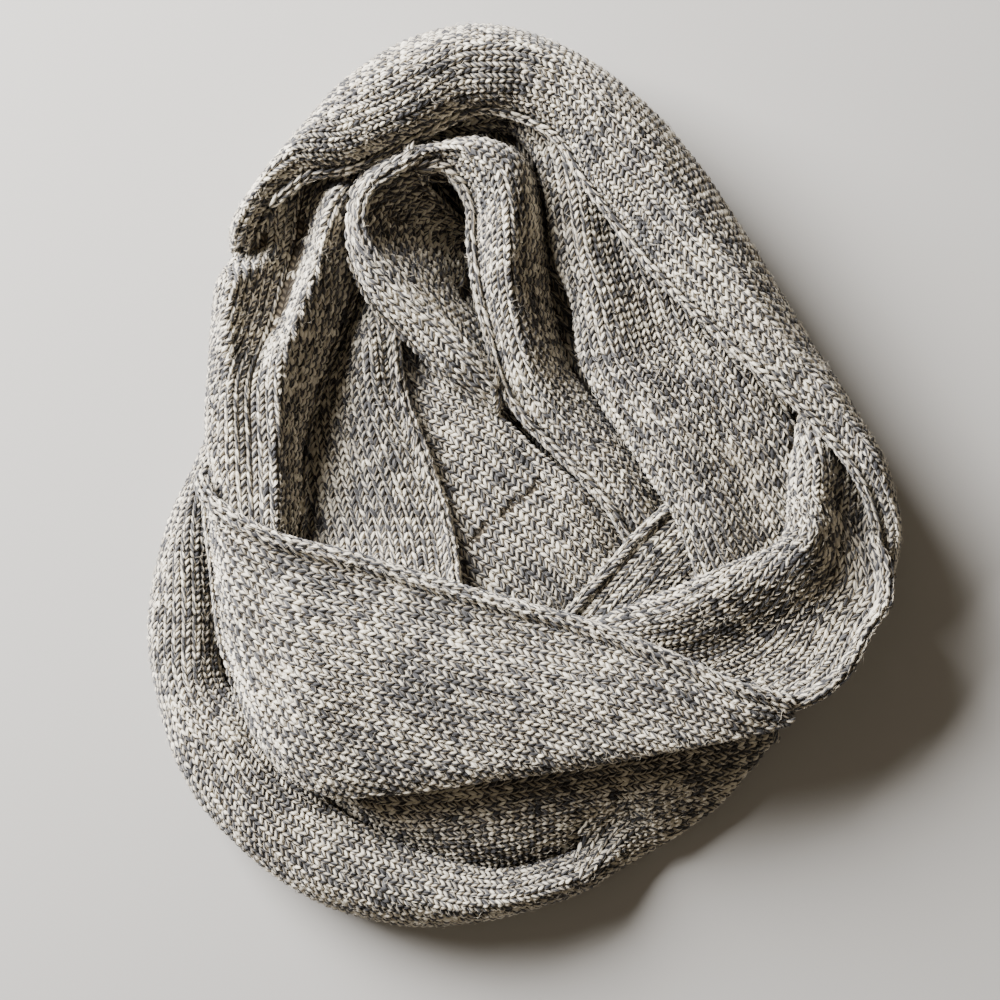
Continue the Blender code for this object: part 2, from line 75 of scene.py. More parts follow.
# %% Rolls that stand on the floor: their profile, and one row for each section
ROLL_RAILS = (
    # rail,      across, inset, rise, lip
    ("tuck",      0.00, 13.0, 0.00, 0.00),
    ("foot",      0.00,  4.0, 0.03, 0.00),
    ("side",      0.00,  0.0, 0.36, 0.00),
    ("shoulder",  0.15,  0.0, 0.80, 0.00),
    ("crest",     0.47,  0.0, 1.00, 0.00),
    ("inner",     0.84,  0.0, 0.55, 0.45),
    ("edge",      1.00,  0.0, 0.00, 1.00),
    ("hem",       0.93,  0.0, 0.00, 0.87),
)
OUTER_TURN = (
    # out (x, y), edge (x, y), top, lip
    ((-134, 105), (-124, 104), 46, 43),
    ((-133, 115), (-121, 112), 58, 52),
    ((-122, 133), (-112, 125), 64, 57),
    ((-106, 152), (-97, 136), 71, 61),
    ((-88, 174), (-80, 139), 77, 60),
    ((-60, 194), (-57, 149), 82, 62),
    ((-20, 204), (-20, 165), 85, 65),
    ((20, 193), (12, 155), 85, 65),
    ((62, 161), (31, 129), 82, 62),
    ((100, 110), (56, 97), 79, 61),
    ((128, 64), (91, 62), 75, 62),
    ((147, 35), (123, 33), 71, 62),
    ((165, 0), (149, 2), 66, 60),
    ((171, -27), (159, -25), 51, 46),
    ((169, -44), (159, -43), 31, 25),
)

LOWER_TURN = (
    # out (x, y), edge (x, y), top, lip
    ((-137, 46), (-124, 46), 13, 8),
    ((-149, 14), (-134, 16), 30, 22),
    ((-165, -22), (-138, -22), 40, 28),
    ((-172, -60), (-139, -60), 44, 28),
    ((-170, -93), (-136, -90), 46, 32),
    ((-160, -127), (-120, -106), 49, 38),
    ((-143, -154), (-109, -126), 50, 36),
    ((-115, -180), (-89, -145), 48, 33),
    ((-78, -199), (-61, -162), 45, 30),
    ((-35, -204), (-28, -174), 42, 28),
    ((0, -197), (-3, -176), 38, 26),
    ((29, -188), (23, -169), 31, 21),
    ((51, -175), (43, -158), 15, 9),
)

# %% Sheets: one row for each section, one column for each rail
FRONT_PANEL = (
    # selvedge, chest, belly, fold, under
    ((-143, 1, 56), (-140, -42, 48), (-133, -84, 44), (-118, -119, 43), (-107, -127, 41)),
    ((-137, -9, 66), (-131, -46, 64), (-124, -84, 60), (-107, -131, 52), (-101, -123, 45)),
    ((-118, -22, 71), (-112, -54, 73), (-106, -92, 70), (-92, -139, 55), (-90, -128, 47)),
    ((-75, -35, 69), (-72, -64, 74), (-70, -98, 71), (-60, -139, 55), (-60, -126, 47)),
    ((-25, -50, 67), (-24, -74, 72), (-22, -102, 70), (-15, -133, 56), (-16, -122, 48)),
    ((25, -64, 66), (26, -82, 70), (28, -104, 68), (30, -126, 57), (30, -116, 49)),
    ((66, -80, 65), (68, -91, 68), (71, -106, 65), (72, -118, 57), (72, -110, 49)),
    ((98, -94, 62), (99, -100, 64), (101, -107, 61), (103, -111, 54), (102, -105, 48)),
    ((114, -98, 58), (116, -101, 59), (118, -104, 57), (118, -107, 53), (116, -104, 48)),
)

UNDER_PANEL = (
    # shelf, top, middle, low, foot
    ((-108, -112, 32), (-104, -130, 29), (-98, -140, 27), (-90, -149, 24), (-82, -157, 20)),
    ((-62, -102, 62), (-62, -136, 41), (-58, -150, 35), (-55, -162, 27), (-52, -174, 18)),
    ((-20, -100, 62), (-20, -132, 42), (-18, -152, 35), (-16, -168, 27), (-14, -181, 16)),
    ((22, -100, 50), (22, -126, 42), (22, -148, 33), (22, -163, 21), (22, -172, 13)),
    ((40, -100, 46), (40, -123, 41), (41, -145, 30), (42, -157, 16), (43, -163, 9)),
    ((55, -98, 42), (55, -121, 40), (55, -144, 31), (59, -168, 14), (63, -163, 4)),
    ((72, -97, 39), (72, -116, 39), (74, -137, 29), (79, -158, 12), (72, -154, 3)),
    ((92, -97, 37), (92, -112, 37), (93, -127, 28), (96, -144, 13), (88, -140, 3)),
    ((112, -96, 36), (112, -106, 36), (113, -112, 27), (115, -119, 13), (108, -115, 3)),
)

LEFT_FOLDS = (
    # tuck, side, first ridge, valley, second ridge, drop
    ((-100, 128, 22), (-109, 134, 31), (-103, 139, 42), (-96, 143, 40), (-80, 150, 50), (-67, 150, 42)),
    ((-112, 108, 20), (-124, 114, 30), (-116, 117, 46), (-102, 121, 35), (-86, 124, 62), (-71, 126, 44)),
    ((-119, 98, 15), (-134, 99, 31), (-121, 104, 51), (-104, 108, 33), (-89, 110, 66), (-72, 111, 44)),
    ((-126, 88, 3), (-139, 88, 32), (-127, 91, 58), (-108, 94, 35), (-92, 96, 68), (-73, 97, 42)),
    ((-128, 69, 3), (-142, 68, 28), (-130, 71, 64), (-113, 73, 43), (-99, 75, 68), (-80, 74, 36)),
    ((-130, 44, 25), (-143, 44, 40), (-131, 45, 63), (-121, 46, 58), (-107, 48, 66), (-91, 47, 32)),
    ((-132, 14, 40), (-142, 14, 48), (-132, 15, 61), (-121, 15, 59), (-109, 15, 62), (-99, 14, 32)),
    ((-130, -8, 42), (-138, -6, 50), (-130, -8, 61), (-120, -8, 62), (-109, -8, 63), (-100, -9, 36)),
    ((-124, -38, 44), (-131, -37, 54), (-125, -38, 62), (-118, -38, 68), (-110, -38, 68), (-103, -38, 42)),
)

CENTRE_LEFT_PANEL = (
    # left, slope, crest, selvedge
    ((-77, 86, 26), (-72, 88, 34), (-67, 89, 38), (-63, 87, 36)),
    ((-87, 64, 22), (-77, 65, 40), (-69, 66, 48), (-60, 67, 43)),
    ((-98, 40, 20), (-82, 40, 35), (-69, 41, 46), (-57, 42, 41)),
    ((-106, 10, 20), (-86, 9, 35), (-66, 10, 42), (-46, 11, 38)),
    ((-108, -20, 24), (-86, -20, 39), (-61, -20, 44), (-36, -20, 38)),
    ((-104, -54, 40), (-80, -56, 62), (-56, -56, 66), (-31, -56, 58)),
)

CENTRE_PANEL = (
    # under, fold, upper, lower, left
    ((-62, 66, 20), (-54, 69, 30), (-58, 62, 32), (-64, 56, 30), (-72, 50, 25)),
    ((-48, 43, 20), (-39, 49, 33), (-46, 42, 36), (-55, 32, 32), (-70, 22, 26)),
    ((-25, 25, 20), (-15, 34, 34), (-24, 24, 38), (-45, 0, 34), (-64, -18, 28)),
    ((1, 3, 20), (10, 12, 33), (1, 0, 37), (-27, -34, 36), (-48, -56, 46)),
    ((24, -18, 20), (33, -9, 31), (24, -22, 35), (2, -52, 37), (-18, -76, 56)),
    ((41, -39, 18), (50, -31, 27), (41, -43, 29), (23, -64, 30), (6, -82, 38)),
)

COLLAR_LOOP = (
    # deep, hollow, rim, face, hem
    ((-13, 55, 32), (-13, 50, 40), (-14, 43, 46), (-13, 37, 45), (-13, 32, 38)),
    ((-15, 67, 30), (-20, 61, 44), (-25, 56, 54), (-31, 49, 52), (-35, 45, 43)),
    ((-27, 82, 28), (-36, 79, 50), (-42, 74, 60), (-48, 65, 57), (-52, 61, 47)),
    ((-30, 89, 26), (-50, 93, 56), (-58, 89, 65), (-63, 79, 61), (-66, 75, 51)),
    ((-25, 96, 23), (-61, 103, 60), (-69, 101, 69), (-73, 93, 64), (-74, 88, 54)),
    ((-22, 101, 20), (-65, 112, 61), (-73, 112, 71), (-78, 108, 66), (-80, 106, 58)),
    ((-21, 105, 18), (-62, 122, 60), (-69, 127, 72), (-74, 130, 66), (-75, 131, 58)),
    ((-21, 113, 20), (-45, 131, 56), (-49.6, 141, 73), (-51.9, 145.3, 67), (-53.9, 148.3, 59)),
)

POCKET_ROLL = (
    # hollow, inner, crest, outer, tuck
    ((-43, 133, 54), (-47, 137, 67), (-49, 142, 73), (-51, 146, 67), (-53, 149, 59)),
    ((-34, 133, 50), (-38, 139, 66), (-38, 144, 75), (-39, 148, 68), (-39, 150, 58)),
    ((-25, 128, 46), (-29, 133, 62), (-24, 142, 78), (-19, 150, 68), (-18, 152, 55)),
    ((-19, 120, 42), (-23, 123, 58), (-13, 132, 80), (-2, 141, 66), (1, 142, 52)),
    ((-17, 107, 40), (-22, 107, 54), (-9, 111, 78), (7, 114, 58), (10, 114, 44)),
    ((-15, 89, 38), (-20, 89, 52), (-8, 91, 72), (9, 90, 46), (12, 89, 34)),
    ((-11, 69, 34), (-15, 68, 48), (-4, 69, 62), (13, 66, 38), (17, 64, 28)),
    ((-4, 47, 30), (-8, 44, 44), (4, 47, 53), (21, 47, 34), (25, 46, 26)),
    ((9, 27, 26), (5, 25, 40), (16, 30, 48), (34, 34, 31), (38, 33, 25)),
    ((28, 8, 22), (24, 7, 36), (34, 12, 44), (48, 16, 28), (52, 15, 21)),
    ((44, -10, 19), (40, -11, 32), (49, -5, 39), (60, -2, 25), (64, -3, 18)),
    ((54, -27, 15), (50, -28, 25), (59, -23, 31), (69, -18, 21), (72, -20, 15)),
)

INNER_RIGHT_ROLL = (
    # tuck, left, crest, slope, under
    ((-50, 152, 39), (-52, 153, 44), (-52, 159, 47), (-52, 165, 46), (-52, 171, 42)),
    ((-30, 154, 40), (-31, 155, 48), (-31, 161, 51), (-31, 168, 48), (-31, 174, 44)),
    ((-8, 156, 42), (-8, 157, 52), (-5, 162, 56), (-2, 169, 50), (2, 174, 45)),
    ((5, 144, 42), (4, 146, 53), (13, 150, 60), (22, 155, 51), (32, 159, 45)),
    ((12, 120, 40), (10, 121, 52), (21, 124, 61), (33, 128, 53), (45, 132, 45)),
    ((15, 98, 34), (13, 98, 51), (25, 102, 61), (40, 107, 52), (58, 112, 44)),
    ((23, 78, 32), (21, 77, 49), (31, 79, 60), (52, 85, 50), (75, 93, 43)),
    ((27, 53, 33), (25, 53, 48), (38, 55, 58), (62, 63, 48), (95, 76, 41)),
    ((38, 31, 36), (36, 32, 48), (51, 38, 58), (80, 48, 47), (116, 58, 38)),
    ((51, 12, 38), (49, 13, 48), (65, 18, 57), (92, 26, 46), (122, 35, 35)),
    ((62, -6, 40), (60, -5, 48), (76, -2, 55), (98, 3, 46), (123, 8, 36)),
    ((71, -22, 41), (69, -21, 48), (84, -20, 52), (102, -17, 45), (123, -12, 37)),
    ((79, -44, 37), (78, -43, 42), (90, -43, 44), (104, -40, 41), (119, -36, 37)),
)

RIGHT_TURN = (
    # tuck, inner, crest, hollow, bank, rim
    ((124, 34, 43), (126, 36, 46), (132, 35, 48), (140, 28, 46), (147, 20, 44), (153, 13, 42)),
    ((121, 8, 47), (117, 8, 56), (127, 6, 66), (139, -1, 53), (148, -6, 46), (155, -9, 42)),
    ((121, -6, 47), (116, -6, 57), (126, -7, 68), (139, -15, 54), (148, -22, 48), (154, -25, 47)),
    ((121, -12, 47), (116, -12, 57), (126, -14, 68), (140, -26, 54), (150, -33, 50), (159, -37, 53)),
    ((120, -19, 47), (116, -19, 57), (125, -22, 68), (138, -36, 53), (149, -44, 49), (160, -51, 56)),
    ((114, -32, 47), (111, -28, 57), (118, -34, 66), (131, -51, 52), (141, -60, 49), (151, -67, 56)),
    ((93, -43, 46), (89, -37, 55), (95, -44, 62), (110, -64, 50), (125, -77, 48), (141, -85, 55)),
    ((66, -56, 46), (62, -49, 54), (68, -56, 61), (83, -75, 50), (102, -89, 47), (122, -98, 51)),
    ((38, -66, 48), (35, -60, 55), (40, -67, 61), (54, -80, 55), (73, -92, 50), (94, -101, 46)),
    ((12, -75, 52), (10, -70, 59), (14, -77, 67), (26, -87, 66), (43, -95, 62), (62, -101, 56)),
)

SMALL_STRIP = (
    # turn, edge, middle, under
    ((19, -70, 27), (16, -66, 32), (30, -74, 33), (46, -80, 29)),
    ((37, -52, 29), (33, -48, 35), (47, -56, 37), (62, -66, 32)),
    ((55, -32, 31), (51, -27, 38), (62, -37, 39), (78, -49, 32)),
    ((69, -18, 29), (67, -12, 34), (76, -23, 35), (90, -36, 29)),
)

# %% [markdown]
# ## From sections to a smooth sheet
# A loft joins the sections with curves that pass through every point. It is the same loft that made
# the solids, so that its points match theirs. A layer that lies under another was pressed down in
# the solids, so each point then takes its height from the solid's own corner at the same place.

# %% Lofting through a table
def chord_knots(table):
    """Knots of a smooth curve through the rows of a table, from the mean way between rows."""
    steps = np.linalg.norm(np.diff(table, axis=0), axis=-1)
    return np.concatenate(([0.0], np.cumsum(steps.reshape(len(steps), -1).mean(axis=1))))


def smooth_through(table, knots, at):
    """Read a smooth curve through the rows of a table at the given places along its knots."""
    spans = np.diff(knots)
    slopes = np.diff(table, axis=0) / spans.reshape((-1,) + (1,) * (table.ndim - 1))
    tangents = np.empty_like(table)
    tangents[0], tangents[-1] = slopes[0], slopes[-1]
    for row in range(1, len(table) - 1):
        before, after = spans[row - 1], spans[row]
        tangents[row] = (slopes[row - 1] * after + slopes[row] * before) / (before + after)
    at = np.asarray(at, dtype=float)
    row = np.clip(np.searchsorted(knots, at, side="right") - 1, 0, len(spans) - 1)
    shape = (-1,) + (1,) * (table.ndim - 1)
    span = spans[row].reshape(shape)
    u = ((at - knots[row]) / spans[row]).reshape(shape)
    return (table[row] * (2 * u**3 - 3 * u**2 + 1) + tangents[row] * span * (u**3 - 2 * u**2 + u)
            + table[row + 1] * (3 * u**2 - 2 * u**3) + tangents[row + 1] * span * (u**3 - u**2))


def places_between(knots, counts):
    """Places along the knots: each span is cut in its own number of equal steps."""
    pieces = [np.linspace(knots[i], knots[i + 1], n, endpoint=False) for i, n in enumerate(counts)]
    return np.concatenate(pieces + [[knots[-1]]])


def resample(table, counts):
    """Cut each span between the rows of a table in its number of steps, along a smooth curve."""
    knots = chord_knots(table)
    return smooth_through(table, knots, places_between(knots, counts))


def steps_of(table, size):
    """How many steps of about this size each span between rows needs."""
    return [max(1, round(span / size)) for span in np.diff(chord_knots(table))]


def roll_sections(rows):
    """Sections of a roll that stands on the floor, from its sides and heights."""
    sections = []
    for out, edge, top, lip in rows:
        out = np.array(out, dtype=float)
        way = np.array(edge, dtype=float) - out
        inwards = way / np.linalg.norm(way)
        section = []
        for _rail, across, inset, rise, lip_share in ROLL_RAILS:
            x, y = out + way * across + inwards * inset
            section.append((x, y, FLOOR_GAP + rise * top + lip_share * lip))
        sections.append(section)
    return sections


def loft(sections, across_counts):
    """The solids' own grid of points: sections along the band, rails across it."""
    table = np.array(sections, dtype=float)
    table = resample(table, steps_of(table, CELL))
    grid = resample(table.swapaxes(0, 1), across_counts).swapaxes(0, 1)
    return grid - np.array([MIDDLE[0], MIDDLE[1], 0.0])


SAME_PLACE = 0.02             # a corner is a point's own if it is nearer than this, seen from above
SAME_HEIGHT = 0.05            # and no more than this above it


def seat_on_solid(grid, node):
    """Give each point the height of its own corner of the solid, where that was pressed down."""
    corners = np.array([tuple(v.co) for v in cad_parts[node].data.vertices]) / MM
    seated, found = grid.copy(), 0
    for point in seated.reshape(-1, 3):
        near = np.abs(corners[:, :2] - point[:2]).max(axis=1) < SAME_PLACE
        near &= corners[:, 2] < max(point[2], FLOOR_GAP) + SAME_HEIGHT
        if near.any():
            point[2] = corners[near, 2].max()
            found += 1
    print(f"{node}: {found} of {grid.shape[0] * grid.shape[1]} points seated")
    return seated


# %% [markdown]
# ## The stretches
# Each stretch names its table, how many steps the solid has between rails, and the rail that its
# columns of stitches run along. Wales are counted from that rail, so where the band narrows they
# run out at the far side, as they do on the real cloth where it folds away underneath.

# %% The stretches of the band
STRETCHES = (
    # node, sections, steps between rails, rail that the wales follow
    ("outer_turn", roll_sections(OUTER_TURN), (1, 1, 2, 2, 2, 1, 1), 6),
    ("lower_turn", roll_sections(LOWER_TURN), (1, 1, 2, 1, 2, 1, 1), 6),
    ("front_panel", FRONT_PANEL, (2, 3, 3, 2), 0),
    ("under_panel", UNDER_PANEL, (2, 2, 2, 1), 1),
    ("right_turn", RIGHT_TURN, (1, 1, 2, 2, 2), 5),
    ("inner_right_roll", INNER_RIGHT_ROLL, (1, 2, 2, 2), 1),
    ("small_strip", SMALL_STRIP, (1, 2, 2), 1),
    ("pocket_roll", POCKET_ROLL, (1, 2, 2, 1), 2),
    ("collar_loop", COLLAR_LOOP, (2, 2, 2, 1), 2),
    ("left_folds", LEFT_FOLDS, (2, 2, 2, 2, 2), 3),
    ("centre_left_panel", CENTRE_LEFT_PANEL, (2, 2, 3), 3),
    ("centre_panel", CENTRE_PANEL, (1, 1, 4, 2), 1),
)

# %% [markdown]
# ## Creases
# Cloth that has been dropped is never quite smooth. These few soft troughs and ridges follow what
# shows on the real scarf, with similar ones on the sides that the picture hides. Each is a line
# seen from above, with its depth (a ridge is negative) and its half width.

# %% Creases placed one by one
CREASES = (
    # stretch, from (x, y), to (x, y), depth, half width
    ("outer_turn", (-96, 158), (-66, 172), 1.4, 6),
    ("outer_turn", (-5, 180), (40, 164), 1.0, 6),
    ("outer_turn", (58, 150), (92, 96), 1.8, 7),
    ("outer_turn", (100, 88), (132, 40), 1.4, 6),
    ("outer_turn", (-30, 196), (30, 184), -1.2, 8),
    ("outer_turn", (-98, 138), (-6, 174), -4.5, 9),
    ("outer_turn", (-26, 172), (46, 126), -4.5, 9),
    ("outer_turn", (34, 136), (96, 66), -2.5, 8),
    ("lower_turn", (-160, -40), (-156, -95), 1.8, 7),
    ("lower_turn", (-150, -112), (-128, -148), 2.4, 7),
    ("lower_turn", (-112, -160), (-70, -182), 1.6, 6),
    ("lower_turn", (-40, -186), (10, -184), 1.4, 6),
    ("front_panel", (-128, -32), (64, -92), 3.4, 9),
    ("front_panel", (-122, -30), (-104, -110), 1.6, 9),
    ("front_panel", (-92, -60), (-20, -112), 1.4, 12),
    ("front_panel", (-30, -66), (60, -100), 1.6, 9),
    ("front_panel", (0, -120), (100, -108), -1.4, 5),
    ("right_turn", (128, -20), (150, -60), 1.4, 7),
    ("right_turn", (96, -66), (140, -84), 1.2, 8),
    ("inner_right_roll", (28, 110), (70, 60), 1.6, 8),
    ("inner_right_roll", (58, 50), (96, 20), 1.8, 9),
    ("inner_right_roll", (84, 10), (110, -20), 1.2, 8),
    ("pocket_roll", (-14, 96), (0, 60), 1.4, 5),
    ("collar_loop", (-62, 88), (-26, 58), 1.2, 6),
    ("left_folds", (-120, 90), (-134, 40), 1.4, 6),
    ("left_folds", (-96, 100), (-104, 30), 1.2, 5),
    ("centre_left_panel", (-78, 60), (-84, -20), 1.6, 8),
    ("centre_panel", (-40, 30), (-20, -40), 1.2, 8),
    ("centre_panel", (-8, 0), (10, -50), 1.2, 8),
    ("under_panel", (-60, -150), (20, -158), 1.4, 7),
    ("under_panel", (30, -130), (96, -112), 1.4, 7),
)
UNEVEN = 0.7                  # half height of the cloth's general unevenness
CREASE_ENDS = 0.7             # how blunt a crease's ends are: 1 fades evenly, less is blunter

# %% [markdown]
# ## A fine sheet with cloth coordinates
# To knit on a surface, every point needs two numbers: how far it is across the band from the rail
# that the wales follow, and how far along the band. A stitch is then simply a place where both are
# whole numbers of stitches. These are measured on the sheet itself, so stitches keep their size.

# %% Cloth coordinates
def outward_normals(grid):
    """Unit normals at the grid's points; on most of the sheet they point up."""
    normals = np.cross(np.gradient(grid, axis=0), np.gradient(grid, axis=1))
    if normals[..., 2].sum() < 0:
        normals = -normals
    return normals / np.maximum(np.linalg.norm(normals, axis=2, keepdims=True), 1e-9)


def unevenness(grid):
    """Two slow waves over the cloth, together from -1 to 1 and the same at each run."""
    x, y, z = grid[..., 0], grid[..., 1], grid[..., 2]
    return (0.6 * np.sin(x / 17 + 1.3) * np.sin(y / 13 + 0.4)
            + 0.4 * np.sin(x / 7.1 + z / 9) * np.cos(y / 8.3 + 2.1))


def creased(grid, stretch):
    """Press the stretch's own creases and a slight unevenness into its sheet."""
    normals = outward_normals(grid)
    sunk = UNEVEN * unevenness(grid)
    for name, start, end, depth, half_width in CREASES:
        if name != stretch:
            continue
        start, end = np.array(start) - MIDDLE, np.array(end) - MIDDLE
        way = end - start
        share = np.clip((grid[..., :2] - start) @ way / (way @ way), 0.0, 1.0)
        off = np.linalg.norm(grid[..., :2] - (start + share[..., None] * way), axis=2)
        facing_up = np.clip(normals[..., 2] * 1.5, 0.0, 1.0)
        ends = np.sin(np.pi * share) ** CREASE_ENDS
        sunk += depth * ends * np.exp(-(off / half_width) ** 2) * facing_up
    grid = grid - normals * sunk[..., None]
    grid[..., 2] = np.maximum(grid[..., 2], FLOOR_GAP)
    return grid


class Sheet:
    """A stretch's fine grid of points, its normals and its cloth coordinates, in millimetres."""

    def __init__(self, node, sections, across_counts, wale_rail):
        solid_grid = seat_on_solid(loft(sections, across_counts), node)
        rows = steps_of(solid_grid, FINE)
        columns = steps_of(solid_grid.swapaxes(0, 1), FINE)
        grid = resample(solid_grid, rows)
        grid = resample(grid.swapaxes(0, 1), columns).swapaxes(0, 1)
        self.smooth = grid + outward_normals(grid) * LOOK_FROM
        self.grid = creased(grid, node)
        self.normals = outward_normals(self.grid)
        self.column_of_rail = [sum(columns[:sum(across_counts[:rail])])
                               for rail in range(len(across_counts) + 1)]
        gaps = np.linalg.norm(np.diff(self.grid, axis=1), axis=2)
        self.across = np.concatenate((np.zeros((len(gaps), 1)), np.cumsum(gaps, axis=1)), axis=1)
        self.across -= self.across[:, [self.column_of_rail[wale_rail]]]
        strides = np.linalg.norm(np.diff(self.grid, axis=0), axis=2).mean(axis=1)
        self.along = np.concatenate(([0.0], np.cumsum(strides)))

    def at_along(self, places):
        """Points, normals and way across for whole sections at the given places along the band."""
        index = np.interp(places, self.along, np.arange(len(self.along)))
        low = np.minimum(index.astype(int), len(self.along) - 2)
        share = index - low
        def mix(values):
            return (values[low].T * (1 - share) + values[low + 1].T * share).T

        return mix(self.grid), mix(self.normals), mix(self.across), mix(self.smooth)

    def area(self):
        """Area of one side, in square millimetres."""
        a = np.diff(self.grid, axis=0)[:, :-1]
        b = np.diff(self.grid, axis=1)[:-1]
        return np.linalg.norm(np.cross(a, b), axis=2).sum()


SHEETS = {name: Sheet(name, sections, counts, rail) for name, sections, counts, rail in STRETCHES}

# %% [markdown]
# ## Where the lower roll runs out
# On the real scarf the lower roll flattens and goes on as the outer part of the under panel. The two
# solids stop at each other there, so a small sheet of stitches runs over from one to the other.

# %% The run-out of the lower roll
RUN_OUT = (
    # side, shoulder, crest, inner, join
    ((30, -189, 9), (29, -186, 26), (26, -179, 33), (23, -171, 26), (21, -167, 22)),
    ((42, -182, 7), (41, -179, 20), (38, -171, 25), (35, -162, 21), (31, -152, 27)),
    ((54, -176, 5), (53, -172, 15), (49, -163, 21), (46, -154, 24), (44, -145, 31)),
    ((66, -168, 5), (64, -165, 14), (61, -156, 23), (58, -147, 29), (57, -140, 33)),
    ((80, -159, 5), (79, -156, 14), (76, -147, 22), (74, -141, 26), (73, -133, 31)),
)
RUN_OUT_SHEET = Sheet("lower_turn", RUN_OUT, (2, 2, 2, 2), 0)

# %% [markdown]
# ## Which stitches can be seen
# Most of a heap is hidden inside it, and stitches that nobody can see would only make the model
# heavy. From just above each stitch, a fan of rays looks for a way out between the solids.

# %% Looking for a way out
LOOK_RINGS = (
    # rise for each unit outwards, number of looks, share of a step that the ring is turned
    (1.2, 6, 0.0),
    (0.5, 10, 0.5),
    (0.08, 12, 0.5),
)
LEAST_FACING = 0.02           # a look has to leave the cloth's face at least this steeply
LOOKS = [Vector((0.0, 0.0, 1.0))]
for rise, count, turned in LOOK_RINGS:
    for turn in range(count):
        angle = 2 * np.pi * (turn + turned) / count
        LOOKS.append(Vector((np.cos(angle), np.sin(angle), rise)).normalized())


def whole_heap():
    """One search tree of all the solids."""
    corners, faces = [], []
    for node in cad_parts.values():
        first = len(corners)
        corners += [v.co[:] for v in node.data.vertices]
        faces += [[first + corner for corner in p.vertices] for p in node.data.polygons]
    return BVHTree.FromPolygons(corners, faces)


HEAP = whole_heap()


def can_be_seen(point, normal):
    """True if something outside the heap could look at this place of the cloth."""
    start = Vector(point * MM)
    facing = Vector(normal)
    return any(look.dot(facing) > LEAST_FACING and HEAP.ray_cast(start, look)[0] is None
               for look in LOOKS)


# %% [markdown]
# ## Places for the stitches
# One course after another, the places of the wales are read off the sheet. Each stitch gets the way
# that it faces, the way that its wale runs, and how far the cloth is stretched there. It also keeps
# its place on the yarn, because the colour of a marled yarn changes slowly along it.

# %% Reading off the stitches
SEAM_LINE = ((-32, -33), (9, 0))    # where two ends of the band were joined, on the centre panel
SEAM_DEPTH = 1.7
SEAM_WIDTH = 1.5
SEAM_SWELL = (0.5, 4.0, 1.6)  # how the cloth swells beside the seam: height, distance and width
SHORTEST_COURSE = 0.4         # share of a course; tighter places get no stitch
STRETCH_RANGE = (0.75, 1.5)   # the least and the most that a stitch is stretched along its wale
YARN_STEP = 400.0             # courses of yarn from one stretch's yarn to the next one's
RUN_OUT_SEED = SEED + 30


def sunk_at_seam(points):
    """How far the seam pulls each point of the centre panel in."""
    start, end = (np.array(corner) - MIDDLE for corner in SEAM_LINE)
    way = end - start
    share = np.clip((points[..., :2] - start) @ way / (way @ way), 0.0, 1.0)
    off = np.linalg.norm(points[..., :2] - (start + share[..., None] * way), axis=-1)
    swell, distance, width = SEAM_SWELL
    return (SEAM_DEPTH * np.exp(-(off / SEAM_WIDTH) ** 2)
            - swell * np.exp(-((off - distance) / width) ** 2))


def as_places(points, facings, headings, stretch, yarn):
    """The arrays that the node tree reads, without any stitch that would touch the floor."""
    points = points.copy()
    sideways = 1.0 - np.abs(facings[:, 2])
    points[:, 2] = np.maximum(points[:, 2], LOWEST + SIDE_LIFT * sideways)
    return {"points": points, "facing": facings, "heading": headings,
            "stretch": stretch, "yarn": yarn}


def stitch_places(name, sheet, seed):
    """Points, facings, headings, stretch and yarn places for the stitches of a sheet."""
    length = sheet.along[-1]
    count = max(2, round(length / COURSE))
    grids, normals, across, smooth = sheet.at_along((np.arange(count) + 0.5) * length / count)
    wales = np.arange(np.floor(across.min() / WALE), np.ceil(across.max() / WALE)) + 0.5
    points = np.full((count, len(wales), 3), np.nan)
    facings, looks_from = np.full_like(points, np.nan), np.full_like(points, np.nan)
    for course in range(count):
        inside = ((wales * WALE > across[course, 0] + EDGE_MARGIN * WALE)
                  & (wales * WALE < across[course, -1] - EDGE_MARGIN * WALE))
        for found, values in ((points, grids), (facings, normals), (looks_from, smooth)):
            for axis in range(3):
                read = np.interp(wales * WALE, across[course], values[course, :, axis])
                found[course, inside, axis] = read[inside]
    before, after = np.roll(points, 1, axis=0), np.roll(points, -1, axis=0)
    before[0], after[-1] = np.nan, np.nan
    before = np.where(np.isnan(before), points, before)
    after = np.where(np.isnan(after), points, after)
    headings = after - before
    steps = np.where((before == points).all(axis=2) | (after == points).all(axis=2), 1.0, 2.0)
    reach = np.linalg.norm(headings, axis=2) / steps
    random = np.random.default_rng(seed)
    chance = random.random(reach.shape)
    kept = [(course, wale) for course, wale in zip(*np.nonzero(reach > SHORTEST_COURSE * COURSE))
            if can_be_seen(looks_from[course, wale], facings[course, wale])]
    rows, columns = np.array(kept).T
    reach = np.clip(reach[rows, columns] / COURSE, *STRETCH_RANGE)
    depth = np.full(points.shape[:2], STITCH_DEPTH)
    if name == "centre_panel":
        depth += sunk_at_seam(points)
    places = (points - facings * depth[..., None])[rows, columns]
    stretch = np.column_stack((np.ones_like(reach), reach, np.ones_like(reach)))
    yarn = np.column_stack((rows + YARN_STEP * seed, wales[columns] * WALE, chance[rows, columns]))
    return as_places(places, facings[rows, columns], headings[rows, columns], stretch, yarn)


def joined(groups):
    """One set of places from several."""
    return {key: np.concatenate([group[key] for group in groups]) for key in groups[0]}


STITCHES = {}
for number, name in enumerate(SHEETS):
    STITCHES[name] = stitch_places(name, SHEETS[name], SEED + number)
    print(f"{name}: {len(STITCHES[name]['points'])} stitches can be seen")
RUN_OUT_STITCHES = stitch_places("run_out", RUN_OUT_SHEET, RUN_OUT_SEED)
STITCHES["lower_turn"] = joined([STITCHES["lower_turn"], RUN_OUT_STITCHES])
print("stitches in all:", sum(len(s["points"]) for s in STITCHES.values()))

